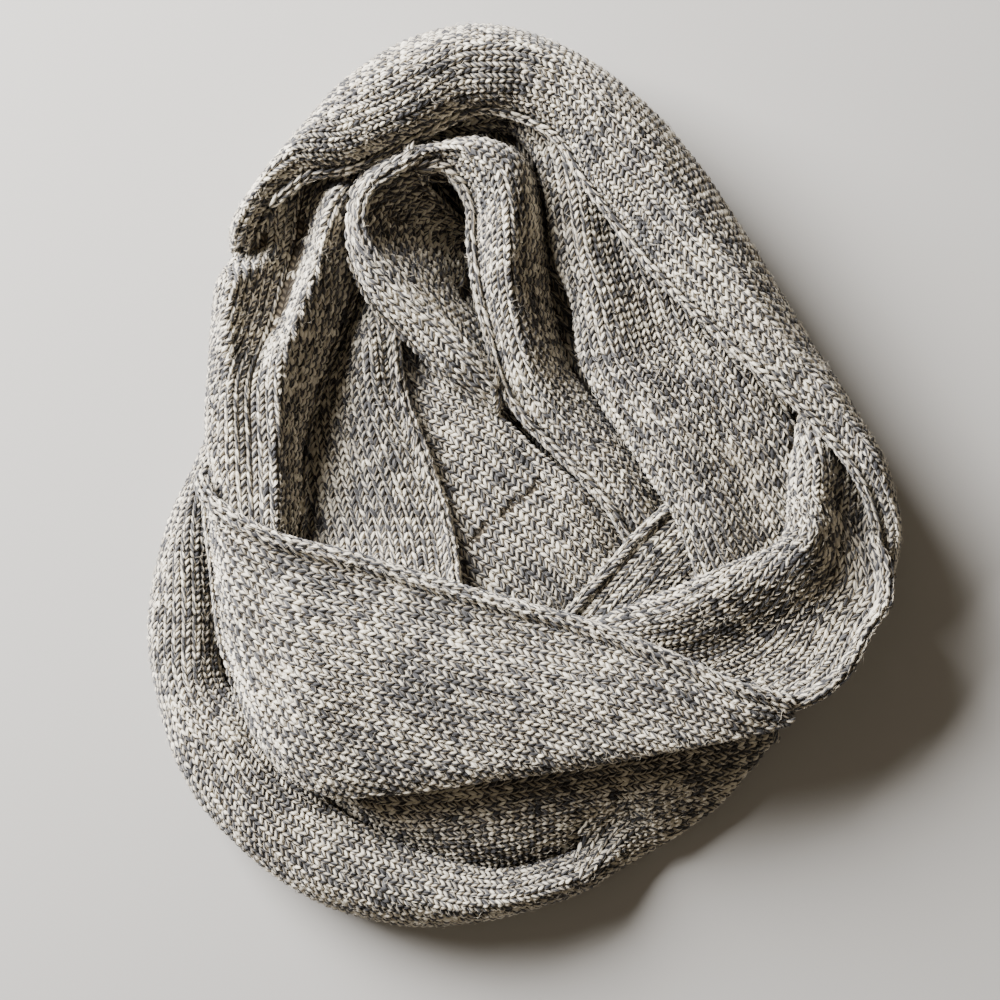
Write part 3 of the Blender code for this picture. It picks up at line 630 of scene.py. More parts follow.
# %% [markdown]
# ## Edges
# The edge of stocking stitch curls, so on the real scarf the knitted edge shows as a plump braid of
# bigger stitches that rolls over the band's border. The rows of that braid turn about the border,
# step by step, from the cloth's face to its back. Borders that run on inside the heap only get two
# rows of plain stitches, which close the cloth.

# %% Rows of stitches round an edge
CHAINS = (
    # stretch, rail, way out across the rails, turns of the rows from the face, in degrees
    ("front_panel", 0, -1, (-50, 5, 60, 115)),
    ("right_turn", 5, 1, (-50, 5, 60, 115)),
    ("outer_turn", 6, 1, (-50, 5, 60)),
    ("collar_loop", 2, -1, (-50, 5, 60)),
    ("pocket_roll", 1, -1, (-50, 5, 60)),
    ("small_strip", 1, -1, (-20, 40)),
    ("centre_left_panel", 3, 1, (-50, 5, 60)),
)
CHAIN_PITCH = 4.7
CHAIN_STRETCH = (0.92, 1.5, 1.05)
CHAIN_OUT = 2.2               # from the braid's middle line to the middle of a stitch
CHAIN_LIFT = 1.9              # of the braid's middle line above the middle of the cloth's wall
PLAIN_TURNS = (45, 105)
PLAIN_PITCH = 3.9
PLAIN_STRETCH = (1.0, 1.25, 1.0)
PLAIN_OUT = 0.5
PLAIN_LIFT = 0.0
BARE_ENDS = (("outer_turn", "first"), ("front_panel", "last"), ("lower_turn", "last"))
CHAIN_STARTS = {"outer_turn": 12}   # fine steps from the end, where the cloth is still tucked in
WALL_MIDDLE = 1.0             # depth of the middle of the solid's wall
CLEAR_OF_EDGE = 2.6           # how far from the wall's middle a look for the way out starts
EDGE_YARN = 900.0             # where the yarn of the edges starts, in courses
EDGE_YARN_STEP = 20           # and how much further on each stretch's is
BORDER_SEEDS = 40             # between the seeds of one border and the next
NEAR_BORDER = 4               # a braid within so many columns of a border takes its place


def unit(vectors):
    """The same directions, each of length one."""
    return vectors / np.maximum(np.linalg.norm(vectors, axis=-1, keepdims=True), 1e-9)


def edge_rows(line, smooth, normals, ways_out, turns, pitch, stretch, out, lift, seed):
    """Rows of stitches along a line of points, turned about it by each of the given angles."""
    gaps = np.linalg.norm(np.diff(line, axis=0), axis=1)
    along = np.concatenate(([0.0], np.cumsum(gaps)))
    places = np.arange(0.5 * pitch, along[-1], pitch)

    def read(values):
        return np.column_stack([np.interp(places, along, values[:, axis]) for axis in range(3)])

    middle, seen_from, up = read(line), read(smooth), unit(read(normals))
    heading = unit(read(np.gradient(line, axis=0)))
    sideways = unit(np.cross(heading, up))
    sideways *= np.sign((sideways * read(ways_out)).sum(axis=1, keepdims=True))
    random = np.random.default_rng(seed)
    found = []
    for row, turn in enumerate(np.radians(turns)):
        facing = up * np.cos(turn) + sideways * np.sin(turn)
        shift = (row % 2) * 0.5 * pitch * heading
        points = middle - up * (WALL_MIDDLE - lift) + facing * out + shift
        looks = seen_from - up * (WALL_MIDDLE + LOOK_FROM) + facing * CLEAR_OF_EDGE + shift
        kept = [i for i in range(len(places)) if can_be_seen(looks[i], facing[i])]
        if kept:
            course = np.full(len(kept), EDGE_YARN + EDGE_YARN_STEP * seed + row)
            yarn = np.column_stack((course, places[kept], random.random(len(kept))))
            found.append(as_places(points[kept], facing[kept], heading[kept],
                                   np.tile(stretch, (len(kept), 1)), yarn))
    return found


def edge_places(name, sheet, seed):
    """The braids of a stretch and the plain rows that close its other borders."""
    grid, smooth, normals = sheet.grid, sheet.smooth, sheet.normals
    found, braided = [], set()
    for stretch, rail, side, turns in CHAINS:
        if stretch != name:
            continue
        column, start = sheet.column_of_rail[rail], CHAIN_STARTS.get(name, 0)
        ways_out = side * np.gradient(grid, axis=1)[start:, column]
        found += edge_rows(grid[start:, column], smooth[start:, column], normals[start:, column],
                           ways_out, turns, CHAIN_PITCH, CHAIN_STRETCH, CHAIN_OUT, CHAIN_LIFT, seed)
        if column < NEAR_BORDER:
            braided.add("near side")
        elif column >= grid.shape[1] - NEAR_BORDER:
            braided.add("far side")
    borders = (
        # border, points beside it, its name
        (np.s_[:, 0], np.s_[:, 1], "near side"),
        (np.s_[:, -1], np.s_[:, -2], "far side"),
        (np.s_[0], np.s_[1], "first"),
        (np.s_[-1], np.s_[-2], "last"),
    )
    for number, (border, beside, key) in enumerate(borders):
        if key in braided or (name, key) in BARE_ENDS:
            continue
        ways_out = grid[border] - grid[beside]
        found += edge_rows(grid[border], smooth[border], normals[border], ways_out,
                           PLAIN_TURNS, PLAIN_PITCH, PLAIN_STRETCH, PLAIN_OUT, PLAIN_LIFT,
                           seed + BORDER_SEEDS * (number + 1))
    return joined(found)


EDGES = {}
for number, name in enumerate(SHEETS):
    EDGES[name] = edge_places(name, SHEETS[name], SEED + number)
    print(f"{name}: {len(EDGES[name]['points'])} stitches round its edges")

# %% [markdown]
# ## The layers inside
# Deep in the folds, and low on the flank, one sees layers of the band that belong to no stretch. They
# are one solid. Rays from above and from all round find its skin, and stitches are set where a ray
# lands: on top in slanting columns, and on the flank in rows that run along the edges of the layers.

# %% Places on the hidden layers
TOP_HEADING = np.radians(-52)
STEEPEST_TOP = 0.55           # a top's normal rises at least this much
TOP_REACH = (80, 50)          # courses and wales that are tried each way from the middle
HIGHEST = 0.1                 # metres, above the whole heap
FLATTEST_FLANK = 0.75         # a flank's normal rises or falls at most this much
FLANK_ROWS = 12
FLANK_ROW = 0.8               # share of a wale from one row on the flank to the next
FLANK_PITCH = 1.15 * COURSE
FLANK_MIDDLE = (0.0, -10.0)   # the rays from all round aim at this point
FLANK_FROM = 0.3              # metres, outside the whole heap
FLANK_RADIUS = 140.0          # taken where a ray finds nothing
CORE_LIFT = 0.2
CORE_STRETCH = (1.0, 1.15, 1.0)
CORE_YARN = 3000.0            # where its yarn starts, in courses


def core_places(seed):
    """Stitches on what shows of the hidden layers."""
    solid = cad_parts["hidden_layers"].data
    core = BVHTree.FromPolygons([v.co[:] for v in solid.vertices],
                                [p.vertices[:] for p in solid.polygons])
    random = np.random.default_rng(seed)
    points, facings, headings, yarn = [], [], [], []

    def add(hit, normal, heading, course, wale):
        if can_be_seen(np.array(hit) / MM + np.array(normal) * LOOK_FROM, normal):
            points.append(np.array(hit) / MM + np.array(normal) * CORE_LIFT)
            facings.append(normal)
            headings.append(heading)
            yarn.append((course + CORE_YARN, wale, random.random()))

    along = np.array([np.cos(TOP_HEADING), np.sin(TOP_HEADING)])
    beside = np.array([-along[1], along[0]])
    courses, wales = TOP_REACH
    for course in range(-courses, courses + 1):
        for wale in range(-wales, wales + 1):
            x, y = (along * course * COURSE + beside * (wale + 0.5) * WALE) * MM
            hit, normal, _face, _far = core.ray_cast(Vector((x, y, HIGHEST)), Vector((0, 0, -1)))
            if hit and normal.z > STEEPEST_TOP:
                add(hit, normal, (*along, 0.0), course, wale * WALE)
    middle = Vector((*FLANK_MIDDLE, 0.0)) * MM
    for wale in range(1, FLANK_ROWS + 1):
        height = (wale - 0.5) * FLANK_ROW * WALE * MM
        angle, travelled = 0.0, 0.0
        while angle < 2 * np.pi:
            way = Vector((np.cos(angle), np.sin(angle), 0.0))
            start = middle + Vector((0, 0, height)) + way * FLANK_FROM
            hit, normal, _face, _far = core.ray_cast(start, -way)
            radius = (hit - middle).xy.length / MM if hit else FLANK_RADIUS
            if hit and abs(normal.z) <= FLATTEST_FLANK:
                add(hit, normal, (-way.y, way.x, 0.0), travelled / COURSE, wale * WALE)
            angle += FLANK_PITCH / radius
            travelled += COURSE
    return as_places(np.array(points), np.array([tuple(f) for f in facings]), np.array(headings),
                     np.tile(CORE_STRETCH, (len(points), 1)), np.array(yarn))


CORE_STITCHES = core_places(SEED)
print("stitches on the hidden layers:", len(CORE_STITCHES["points"]))

# %% [markdown]
# ## One stitch
# A knit stitch shows two plump legs of yarn. Each leg dives under the stitch above and rises from
# the one below, so it is thick in the middle and thin at both tips. Four sides are enough, since
# there are thousands. The map on each leg runs round it and along it, for the twist of the yarn.

# %% Mesh of one stitch
LEG_SIDES = 4
LEG_RINGS = (
    # across, along, out, radius
    (0.12, -2.75, -0.85, 0.00),
    (0.66, -1.40, 0.05, 0.84),
    (1.32, 0.12, 0.45, 1.10),
    (1.96, 1.52, 0.10, 0.88),
    (2.46, 2.75, -0.80, 0.00),
)
FIBRE_SIDES = 3
FIBRE_RINGS = (
    # across, along, out, radius
    (0.0, -2.6, -0.5, 0.000),
    (0.4, -0.9, 0.5, 0.075),
    (-0.2, 1.0, 0.8, 0.065),
    (0.5, 2.7, 0.3, 0.000),
)


def tapered_tube(shape, twist_map, table, sides, side):
    """Add a closed tube through the table's rings, mirrored if side is -1."""
    centres = [Vector((across * side, along, out)) for across, along, out, _radius in table]
    direction = (centres[-1] - centres[0]).normalized()
    sideways = direction.cross(Vector((0, 0, 1))).normalized()
    upwards = sideways.cross(direction)
    rings = []
    for centre, (_across, _along, _out, radius) in zip(centres, table):
        turns = [2 * np.pi * i / sides for i in range(sides)] if radius else [0.0]
        ring = [centre + (sideways * np.cos(t) + upwards * np.sin(t)) * radius for t in turns]
        rings.append([shape.verts.new(corner * MM) for corner in ring])
    last = len(rings) - 1
    for band in range(last):
        low, high = rings[band], rings[band + 1]
        for i in range(sides):
            j = (i + 1) % sides
            if len(low) == 1:
                corners = ((low[0], i + 0.5, band),
                           (high[i], i, band + 1), (high[j], i + 1, band + 1))
            elif len(high) == 1:
                corners = ((low[j], i + 1, band), (low[i], i, band), (high[0], i + 0.5, band + 1))
            else:
                corners = ((low[j], i + 1, band), (low[i], i, band),
                           (high[i], i, band + 1), (high[j], i + 1, band + 1))
            face = shape.faces.new([corner for corner, _u, _v in corners])
            face.smooth = True
            for loop, (_corner, u, v) in zip(face.loops, corners):
                loop[twist_map].uv = (u / sides + (1.0 if side > 0 else 0.0), v / last)


def in_scene(name, data):
    """A new object in the scene, with its place in its mesh."""
    thing = bpy.data.objects.new(name, data)
    bpy.context.scene.collection.objects.link(thing)
    return thing


def triangles(thing):
    """How many triangles an object's mesh has."""
    return sum(len(face.vertices) - 2 for face in thing.data.polygons)


def small_object(name, table, tube_sides, mirrored):
    """A stitch or a fibre, to be set thousands of times and then removed."""
    shape = bmesh.new()
    twist_map = shape.loops.layers.uv.new("twist")
    tapered_tube(shape, twist_map, table, tube_sides, 1)
    if mirrored:
        tapered_tube(shape, twist_map, table, tube_sides, -1)
    bmesh.ops.recalc_face_normals(shape, faces=shape.faces[:])
    mesh = bpy.data.meshes.new(name)
    shape.to_mesh(mesh)
    shape.free()
    return in_scene(name, mesh)


STITCH = small_object("one stitch", LEG_RINGS, LEG_SIDES, True)
FIBRE = small_object("one fibre", FIBRE_RINGS, FIBRE_SIDES, False)
for thing in (STITCH, FIBRE):
    print(f"{thing.name}: {triangles(thing)} triangles")

# %% [markdown]
# ## Writing a material as arithmetic
# A pattern in a material is a sum of small calculations, each of which is a node. Wrapping a socket
# in a class with the usual operators lets the pattern read like a formula.

# %% Sockets that add and multiply
class Tone:
    """One value in a material's node tree; arithmetic on it adds Math nodes."""

    def __init__(self, tree, socket):
        self.tree, self.socket = tree, socket

    def node(self, kind, settings=None, inputs=None, output=0):
        """Add any node: its type, its settings, and the values or links of its sockets."""
        made = self.tree.nodes.new(kind)
        for name, value in (settings or {}).items():
            if name == "stops":
                while len(made.color_ramp.elements) < len(value):
                    made.color_ramp.elements.new(0.5)
                for element, (place, colour) in zip(made.color_ramp.elements, value):
                    element.position, element.color = place, (*colour, 1.0)
            else:
                setattr(made, name, value)
        for name, value in (inputs or {}).items():
            if isinstance(value, Tone):
                self.tree.links.new(value.socket, made.inputs[name])
            else:
                made.inputs[name].default_value = value
        return Tone(self.tree, made.outputs[output])

    def into(self, node, name):
        """Feed this value to a socket of a node."""
        self.tree.links.new(self.socket, node.inputs[name])

    def maths(self, operation, *values):
        return self.node("ShaderNodeMath", {"operation": operation}, dict(enumerate(values)))

    def __add__(self, other):
        return self.maths("ADD", self, other)

    def __sub__(self, other):
        return self.maths("SUBTRACT", self, other)

    def __rsub__(self, other):
        return self.maths("SUBTRACT", other, self)

    def __mul__(self, other):
        return self.maths("MULTIPLY", self, other)

    __radd__ = __add__
    __rmul__ = __mul__

    def wave(self):
        """0 to 1 and back, once for each whole number."""
        return self.maths("SINE", self * (2 * np.pi)) * 0.5 + 0.5

    def between(self, low, high, start=0.0, end=1.0):
        """A soft step from start to end as the value goes from low to high."""
        return self.node("ShaderNodeMapRange", {"interpolation_type": "SMOOTHSTEP"},
                         {"Value": self, "From Min": low, "From Max": high,
                          "To Min": start, "To Max": end})

    def ramp(self, *stops):
        """A colour from this value, through stops of a place and a colour."""
        return self.node("ShaderNodeValToRGB", {"stops": stops}, {"Fac": self})

    def noise(self, place, scale, detail=2.0):
        return self.node("ShaderNodeTexNoise", None,
                         {"Vector": place, "Scale": scale, "Detail": detail})

    def mixed(self, first, second):
        """Mix two colours by this value."""
        return self.node("ShaderNodeMix", {"data_type": "RGBA"},
                         {"Factor": self, 6: first, 7: second}, output=2)

    def tinted(self, tint):
        """This colour, multiplied by another."""
        return self.node("ShaderNodeMix", {"data_type": "RGBA", "blend_type": "MULTIPLY"},
                         {"Factor": 1.0, 6: self, 7: tint}, output=2)

    def parts(self):
        """The x, y and z of a vector."""
        split = self.node("ShaderNodeSeparateXYZ", None, {"Vector": self})
        outputs = split.socket.node.outputs
        return tuple(Tone(self.tree, outputs[i]) for i in range(3))

    def vector(self, x, y, z):
        return self.node("ShaderNodeCombineXYZ", None, {"X": x, "Y": y, "Z": z})


def new_material(name, roughness, sheen):
    """A Principled material; returns it, a Tone to start from, and its surface node."""
    material = bpy.data.materials.new(name)
    material.use_nodes = True
    tree = material.node_tree
    surface = tree.nodes["Principled BSDF"]
    surface.inputs["Roughness"].default_value = roughness
    surface.inputs["Sheen Weight"].default_value = sheen
    surface.inputs["Sheen Roughness"].default_value = 0.5
    surface.inputs["Specular IOR Level"].default_value = 0.2
    return material, Tone(tree, None), surface


# %% [markdown]
# ## The marled yarn
# Two plies are twisted together: a light one that goes from stone to cream along its length, and a
# dark slate one, which is painted near black so that it also stands in for the shade between legs.
# Both show on nearly every leg, side by side, with a groove between them. Where the light ply is
# spun thick it hides the dark one, which makes the small pale slubs of the real yarn.

# %% Yarn material
# painted shade in part: the dark ply is slate, painted near black to also stand for the shade between legs
SLATE_WITH_SHADE = (0.026, 0.026, 0.030)
STEEL = (0.105, 0.105, 0.112)
STONE = (0.36, 0.32, 0.255)
OAT = (0.62, 0.56, 0.455)
CREAM = (0.88, 0.82, 0.69)
# painted shade where each leg dives under its neighbour: the colour left at the tips
TIP_PAINTED_SHADE = (0.40, 0.35, 0.30)     # what is left of the colour at the tips of a leg
TURNS_PER_LEG = 0.8
SLUB_RATE = (0.9, 0.15)            # how fast the yarn's thick places change, by course and across
CLOUD_RATE = (0.11, 0.03)          # and its slow changes
SLUBS, CLOUDS, OWN_CHANCE = 2.7, 1.3, 0.3     # how much each counts for the yarn's thickness
PLY_HIDDEN = 0.9                   # how far a thick light ply covers the dark one
PLY_BORDER = (0.36, 0.64)
YARN_RELIEF = 0.0004               # metres


def yarn_colour(t, course, across, chance, twist):
    """Colour of the yarn from its place on the band and from its twist, 0 to 1 for each turn."""
    slub = t.noise(t.vector(course * SLUB_RATE[0], across * SLUB_RATE[1], 0.0), 1.0, 1.0)
    cloud = t.noise(t.vector(course * CLOUD_RATE[0], across * CLOUD_RATE[1], 5.0), 1.0, 2.0)
    thick = (slub - 0.5) * SLUBS + (cloud - 0.5) * CLOUDS + (chance - 0.5) * OWN_CHANCE + 0.5
    light_ply = thick.ramp((0.12, STONE), (0.5, OAT), (0.86, CREAM))
    # the dark ply, painted near black so that it also stands in for the shade between legs
    dark_ply_and_shade = chance.mixed((*SLATE_WITH_SHADE, 1.0), (*STEEL, 1.0))
    shown = (twist.wave() - (thick - 0.5) * PLY_HIDDEN).between(*PLY_BORDER)
    return shown.mixed(light_ply, dark_ply_and_shade)


def yarn_material():
    """The twisted yarn of the stitches, from each one's place on the band and its own chance."""
    material, t, surface = new_material("marled yarn", 0.9, 0.3)
    place = t.node("ShaderNodeAttribute", {"attribute_name": "yarn"}, output=1)
    course, across, chance = place.parts()
    leg_map = t.node("ShaderNodeUVMap", {"uv_map": "twist"})
    round_leg, along_leg, _none = leg_map.parts()
    right = round_leg.maths("GREATER_THAN", round_leg, 1.0)
    twist = round_leg * 2.0 + along_leg * TURNS_PER_LEG + chance * 0.9 + right * 0.5
    colour = yarn_colour(t, course, across + right * 2.5, chance, twist)
    # painted shade: the colour darkens towards both tips of each leg
    tip_darkening = along_leg.between(0.0, 0.30) * (1.0 - along_leg).between(0.0, 0.25)
    colour = colour.tinted(tip_darkening.ramp((0.0, TIP_PAINTED_SHADE), (1.0, (1, 1, 1))))
    strand = t.vector(round_leg * 9.0 + along_leg * 5.0, along_leg * 3.0, chance * 50.0)
    fibres = t.noise(strand, 2.0, 3.0)
    side = twist.wave() - 0.5
    plies = side.maths("ABSOLUTE", side)
    bump = t.node("ShaderNodeBump", None, {"Strength": 0.7, "Distance": YARN_RELIEF,
                                           "Height": fibres * 0.5 + plies * 1.5})
    colour.into(surface, "Base Color")
    bump.into(surface, "Normal")
    return material


def fibre_material():
    """Loose fibres, from cream to grey by each one's own chance."""
    material, t, surface = new_material("loose fibres", 0.9, 0.4)
    place = t.node("ShaderNodeAttribute", {"attribute_name": "yarn"}, output=1)
    _course, _across, chance = place.parts()
    chance.ramp((0.0, STONE), (0.5, OAT), (1.0, CREAM)).into(surface, "Base Color")
    return material


# %% [markdown]
# ## The cloth between the stitches
# Between the legs one looks down at the back of the knit. Little light gets there, so its colour is
# painted dark as shade: a darker tint over the whole back, and a near-black ground between the
# strokes. The same material is used for the inner side of the band, so it carries the stitch
# pattern as colour and bump: two slanted strokes in each cell of the cloth's own map.

# %% Cloth material
# painted shade: near-black ground in the gaps between the strokes
STROKE_GAP_SHADE = (0.075, 0.066, 0.056, 1.0)     # between the strokes
# painted shade: a tint that darkens the whole back of the knit
BACK_PAINTED_SHADE = (0.60, 0.55, 0.48, 1.0)
BACK_RELIEF = 0.0012               # metres
SLANT = 1.5                        # how steeply the strokes of a stitch slant


def cloth_material():
    """The back of the knit, drawn in the cloth's own map."""
    material, t, surface = new_material("knit back with painted shade", 0.95, 0.2)
    cloth = t.node("ShaderNodeUVMap", {"uv_map": "cloth"})
    wale, course, _none = cloth.parts()
    across_cell = wale.maths("FRACT", wale) - 0.5
    half = across_cell.maths("ABSOLUTE", across_cell)
    slanted = course + half * SLANT
    stroke = slanted.wave()
    gap = half.between(0.0, 0.12) * (1.0 - half * 2.0).between(0.0, 0.25)
    lift = stroke * gap
    row = slanted.maths("FLOOR", slanted)
    tone = t.noise(t.vector(row * 0.77, wale * 0.45, 0.0), 1.0, 2.0)
    colour = tone.ramp((0.30, STEEL), (0.5, STONE), (0.66, OAT), (0.8, CREAM))
    # painted shade: the strokes over the near-black ground, all under the darkening tint
    lift.between(0.1, 0.9).mixed(STROKE_GAP_SHADE, colour).tinted(BACK_PAINTED_SHADE).into(surface, "Base Color")
    bump = t.node("ShaderNodeBump", None,
                  {"Strength": 0.8, "Distance": BACK_RELIEF, "Height": lift})
    bump.into(surface, "Normal")
    return material


YARN = yarn_material()
FIBRES = fibre_material()
CLOTH = cloth_material()

# %% [markdown]
# ## Knitting with nodes
# Geometry Nodes set the stitch on every place. The tree turns each stitch to its facing and its
# heading, stretches it with the cloth, and gives it a little tilt and size of its own from a fixed
# seed, since hand-wound yarn never lies twice the same.

# %% The node tree that sets stitches
TREE_INPUTS = (
    # name, kind of socket, value where it has one
    ("Places", "NodeSocketGeometry", None),
    ("Stitch", "NodeSocketObject", None),
    ("Material", "NodeSocketMaterial", None),
    ("Size", "NodeSocketFloat", 1.0),
    ("Uneven size", "NodeSocketFloat", 0.10),
    ("Tilt", "NodeSocketFloat", 0.12),
    ("Seed", "NodeSocketInt", SEED),
)


def stitch_tree():
    """The tree that turns loose points with a facing and a heading into knit."""
    tree = bpy.data.node_groups.new("Set stitches", "GeometryNodeTree")
    for name, kind, value in TREE_INPUTS:
        socket = tree.interface.new_socket(name, in_out="INPUT", socket_type=kind)
        if value is not None:
            socket.default_value = value
    tree.interface.new_socket("Knit", in_out="OUTPUT", socket_type="NodeSocketGeometry")
    nodes, links = tree.nodes, tree.links
    given = nodes.new("NodeGroupInput").outputs
    made = nodes.new("NodeGroupOutput").inputs

    def node(kind, inputs, output=0, **settings):
        added = nodes.new(kind)
        for name, value in settings.items():
            setattr(added, name, value)
        for name, value in inputs.items():
            if isinstance(value, bpy.types.NodeSocket):
                links.new(value, added.inputs[name])
            else:
                added.inputs[name].default_value = value
        return added.outputs[output]

    def stored(name):
        return node("GeometryNodeInputNamedAttribute", {"Name": name}, data_type="FLOAT_VECTOR")

    def chance(low, high, step):
        seed = node("ShaderNodeMath", {0: given["Seed"], 1: step}, operation="ADD")
        return node("FunctionNodeRandomValue", {"Min": low, "Max": high, "Seed": seed},
                    data_type="FLOAT_VECTOR")

    lowest, highest = (-1, -1, -1), (1, 1, 1)
    turned = node("FunctionNodeAxesToRotation",
                  {"Primary Axis": stored("facing"), "Secondary Axis": stored("heading")},
                  primary_axis="Z", secondary_axis="Y")
    tilt = node("ShaderNodeVectorMath", {0: chance(lowest, highest, 1), "Scale": given["Tilt"]},
                operation="SCALE")
    tilt = node("FunctionNodeEulerToRotation", {"Euler": tilt})
    turned = node("FunctionNodeRotateRotation", {"Rotation": turned, "Rotate By": tilt},
                  rotation_space="LOCAL")
    spread = node("ShaderNodeVectorMath",
                  {0: chance(lowest, highest, 2), "Scale": given["Uneven size"]}, operation="SCALE")
    spread = node("ShaderNodeVectorMath", {0: spread, 1: (1.0, 1.0, 1.0)}, operation="ADD")
    size = node("ShaderNodeVectorMath", {0: stored("stretch"), 1: spread}, operation="MULTIPLY")
    size = node("ShaderNodeVectorMath", {0: size, "Scale": given["Size"]}, operation="SCALE")
    stitch = node("GeometryNodeObjectInfo", {"Object": given["Stitch"], "As Instance": True},
                  output="Geometry")
    knit = node("GeometryNodeInstanceOnPoints",
                {"Points": given["Places"], "Instance": stitch, "Rotation": turned, "Scale": size})
    knit = node("GeometryNodeRealizeInstances", {"Geometry": knit})
    knit = node("GeometryNodeSetMaterial", {"Geometry": knit, "Material": given["Material"]})
    links.new(knit, made["Knit"])
    return tree


SET_STITCHES = stitch_tree()


# %% Knitting a piece
def place_object(name, places):
    """A mesh of loose points that carry what the node tree reads."""
    mesh = bpy.data.meshes.new(name)
    mesh.from_pydata([tuple(p) for p in places["points"] * MM], [], [])
    for key in ("facing", "heading", "stretch", "yarn"):
        layer = mesh.attributes.new(key, "FLOAT_VECTOR", "POINT")
        layer.data.foreach_set("vector", places[key].astype(np.float32).ravel())
    return in_scene(name, mesh)


LEG_STRIP = 0.44              # share of a stitch's square that the map of one leg is wide
STRIP_GAP = 0.04              # beside each leg's strip
STRIP_END = 0.05              # before and after it


def lay_out_flat(mesh, count):
    """A second map, in which every stitch has a square of its own, for baking the colours."""
    twist = np.empty(2 * len(mesh.loops), dtype=np.float32)
    mesh.uv_layers["twist"].data.foreach_get("uv", twist)
    twist = twist.reshape(count, -1, 2)
    side = int(np.ceil(np.sqrt(count)))
    cell = np.stack((np.arange(count) % side, np.arange(count) // side), axis=1)[:, None]
    round_leg, along_leg = twist[..., 0], twist[..., 1]
    within = np.stack((STRIP_GAP + round_leg * LEG_STRIP + (round_leg > 1.0) * STRIP_GAP,
                       STRIP_END + along_leg * (1.0 - 2 * STRIP_END)), axis=-1)
    flat = mesh.uv_layers.new(name="OFBake")
    flat.data.foreach_set("uv", ((cell + within) / side).astype(np.float32).ravel())


def knitted(name, places, **settings):
    """Run the node tree on the places and keep the result as a plain mesh."""
    host = place_object(name + " places", places)
    modifier = host.modifiers.new("knit", "NODES")
    modifier.node_group = SET_STITCHES
    sockets = {item.name: item.identifier for item in SET_STITCHES.interface.items_tree
               if item.item_type == "SOCKET" and item.in_out == "INPUT"}
    for key, value in {"Stitch": STITCH, "Material": YARN, **settings}.items():
        modifier[sockets[key]] = value
    depsgraph = bpy.context.evaluated_depsgraph_get()
    mesh = bpy.data.meshes.new_from_object(
        host.evaluated_get(depsgraph), preserve_all_data_layers=True, depsgraph=depsgraph)
    mesh.name = name
    lay_out_flat(mesh, len(places["points"]))
    bpy.data.objects.remove(host)
    return in_scene(name, mesh)


# %% [markdown]
# ## The cloth shells
# Under the stitches lies a thin closed wall. It keeps light from shining through the gaps and gives
# the band its back. Its map counts wales and courses, so its pattern runs with the stitches.

# %% Shells
def shell(name, sheet, stride=2):
    """A thin wall under the stitches of a sheet."""
    rows = sorted(set(range(0, len(sheet.grid), stride)) | {len(sheet.grid) - 1})
    points = (sheet.grid - sheet.normals * SHELL_DEPTH)[rows]
    courses, wales = sheet.along[rows] / COURSE, sheet.across[rows] / WALE
    high, wide = points.shape[:2]
    number = np.arange(high * wide).reshape(high, wide)
    corners = np.stack((number[:-1, :-1], number[:-1, 1:],
                        number[1:, 1:], number[1:, :-1]), axis=-1)
    face_way = np.cross(points[1:, :-1] - points[:-1, :-1], points[:-1, 1:] - points[:-1, :-1])
    if (face_way * sheet.normals[rows][:-1, :-1]).sum() > 0:
        corners = corners[..., ::-1]
    faces = corners.reshape(-1, 4)
    mesh = bpy.data.meshes.new(name)
    mesh.from_pydata([tuple(p) for p in points.reshape(-1, 3) * MM], [], faces.tolist())
    cloth_map = mesh.uv_layers.new(name="cloth")
    courses = np.repeat(courses, wide)
    uv = np.column_stack((wales.ravel()[faces.ravel()], courses[faces.ravel()]))
    cloth_map.data.foreach_set("uv", uv.astype(np.float32).ravel())
    mesh.polygons.foreach_set("use_smooth", [True] * len(faces))
    mesh.materials.append(CLOTH)
    piece = in_scene(name, mesh)
    wall = piece.modifiers.new("thickness", "SOLIDIFY")
    wall.thickness, wall.offset = SHELL_WALL * MM, -1.0
    return piece


PIECES = []
for name, sheet in SHEETS.items():
    cloth = shell(name + "_cloth", sheet)
    knit = knitted(name + "_stitches", STITCHES[name])
    edge = knitted(name + "_edge", EDGES[name])
    PIECES.append((name, cloth, [knit, edge]))
    print(f"{name}: {triangles(cloth)} triangles of cloth on one side, "
          f"{triangles(knit)} of stitches, {triangles(edge)} of edges")

# %% [markdown]
# ## Hidden layers
# Inside the heap the band goes on, layer on layer. What shows of it is only the layered edge below
# the rolls and the ground of a few folds. So one closed form with the cloth's material stands for
# it, and the stitches found above are set on it.

# %% The heap's inside
STEEP = 0.6                   # a face whose normal rises less than this is on the flank
MEAN_RADIUS = 150.0           # of the flank, to count courses round it


def inner_heap():
    """A smooth copy of the solid of hidden layers."""
    shape = bmesh.new()
    shape.from_mesh(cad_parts["hidden_layers"].data)
    bmesh.ops.remove_doubles(shape, verts=shape.verts, dist=1e-6)
    cloth_map = shape.loops.layers.uv.new("cloth")
    for face in shape.faces:
        face.smooth = True
        steep = abs(face.normal.z) < STEEP
        for loop in face.loops:
            x, y, z = loop.vert.co / MM
            if steep:
                loop[cloth_map].uv = (z / WALE, np.arctan2(y, x) * MEAN_RADIUS / COURSE)
            else:
                loop[cloth_map].uv = (x / WALE, y / COURSE)
    mesh = bpy.data.meshes.new("inner_heap")
    shape.to_mesh(mesh)
    shape.free()
    mesh.materials.append(CLOTH)
    return in_scene("inner_heap", mesh)


INNER = inner_heap()
INNER_STITCHES = knitted("inner_heap_stitches", CORE_STITCHES)

# %% [markdown]
# ## Fuzz
# Brushed fibres stand off the yarn everywhere, which softens every outline of the real scarf. A few
# thousand short ones are set by the same nodes, at random on stitches that can be seen.

# %% Loose fibres
FIBRE_COUNT = 6000
FUZZ_FROM = 7.0               # lower than this the fibres would touch the floor
FUZZ_SEED = SEED + 90
FIBRE_LIFT = 1.0              # above the middle of its stitch
FIBRE_SHIFT = 2.0             # at most this far from it, either way
FIBRE_STRETCH = (0.7, 1.5)    # the least and the most


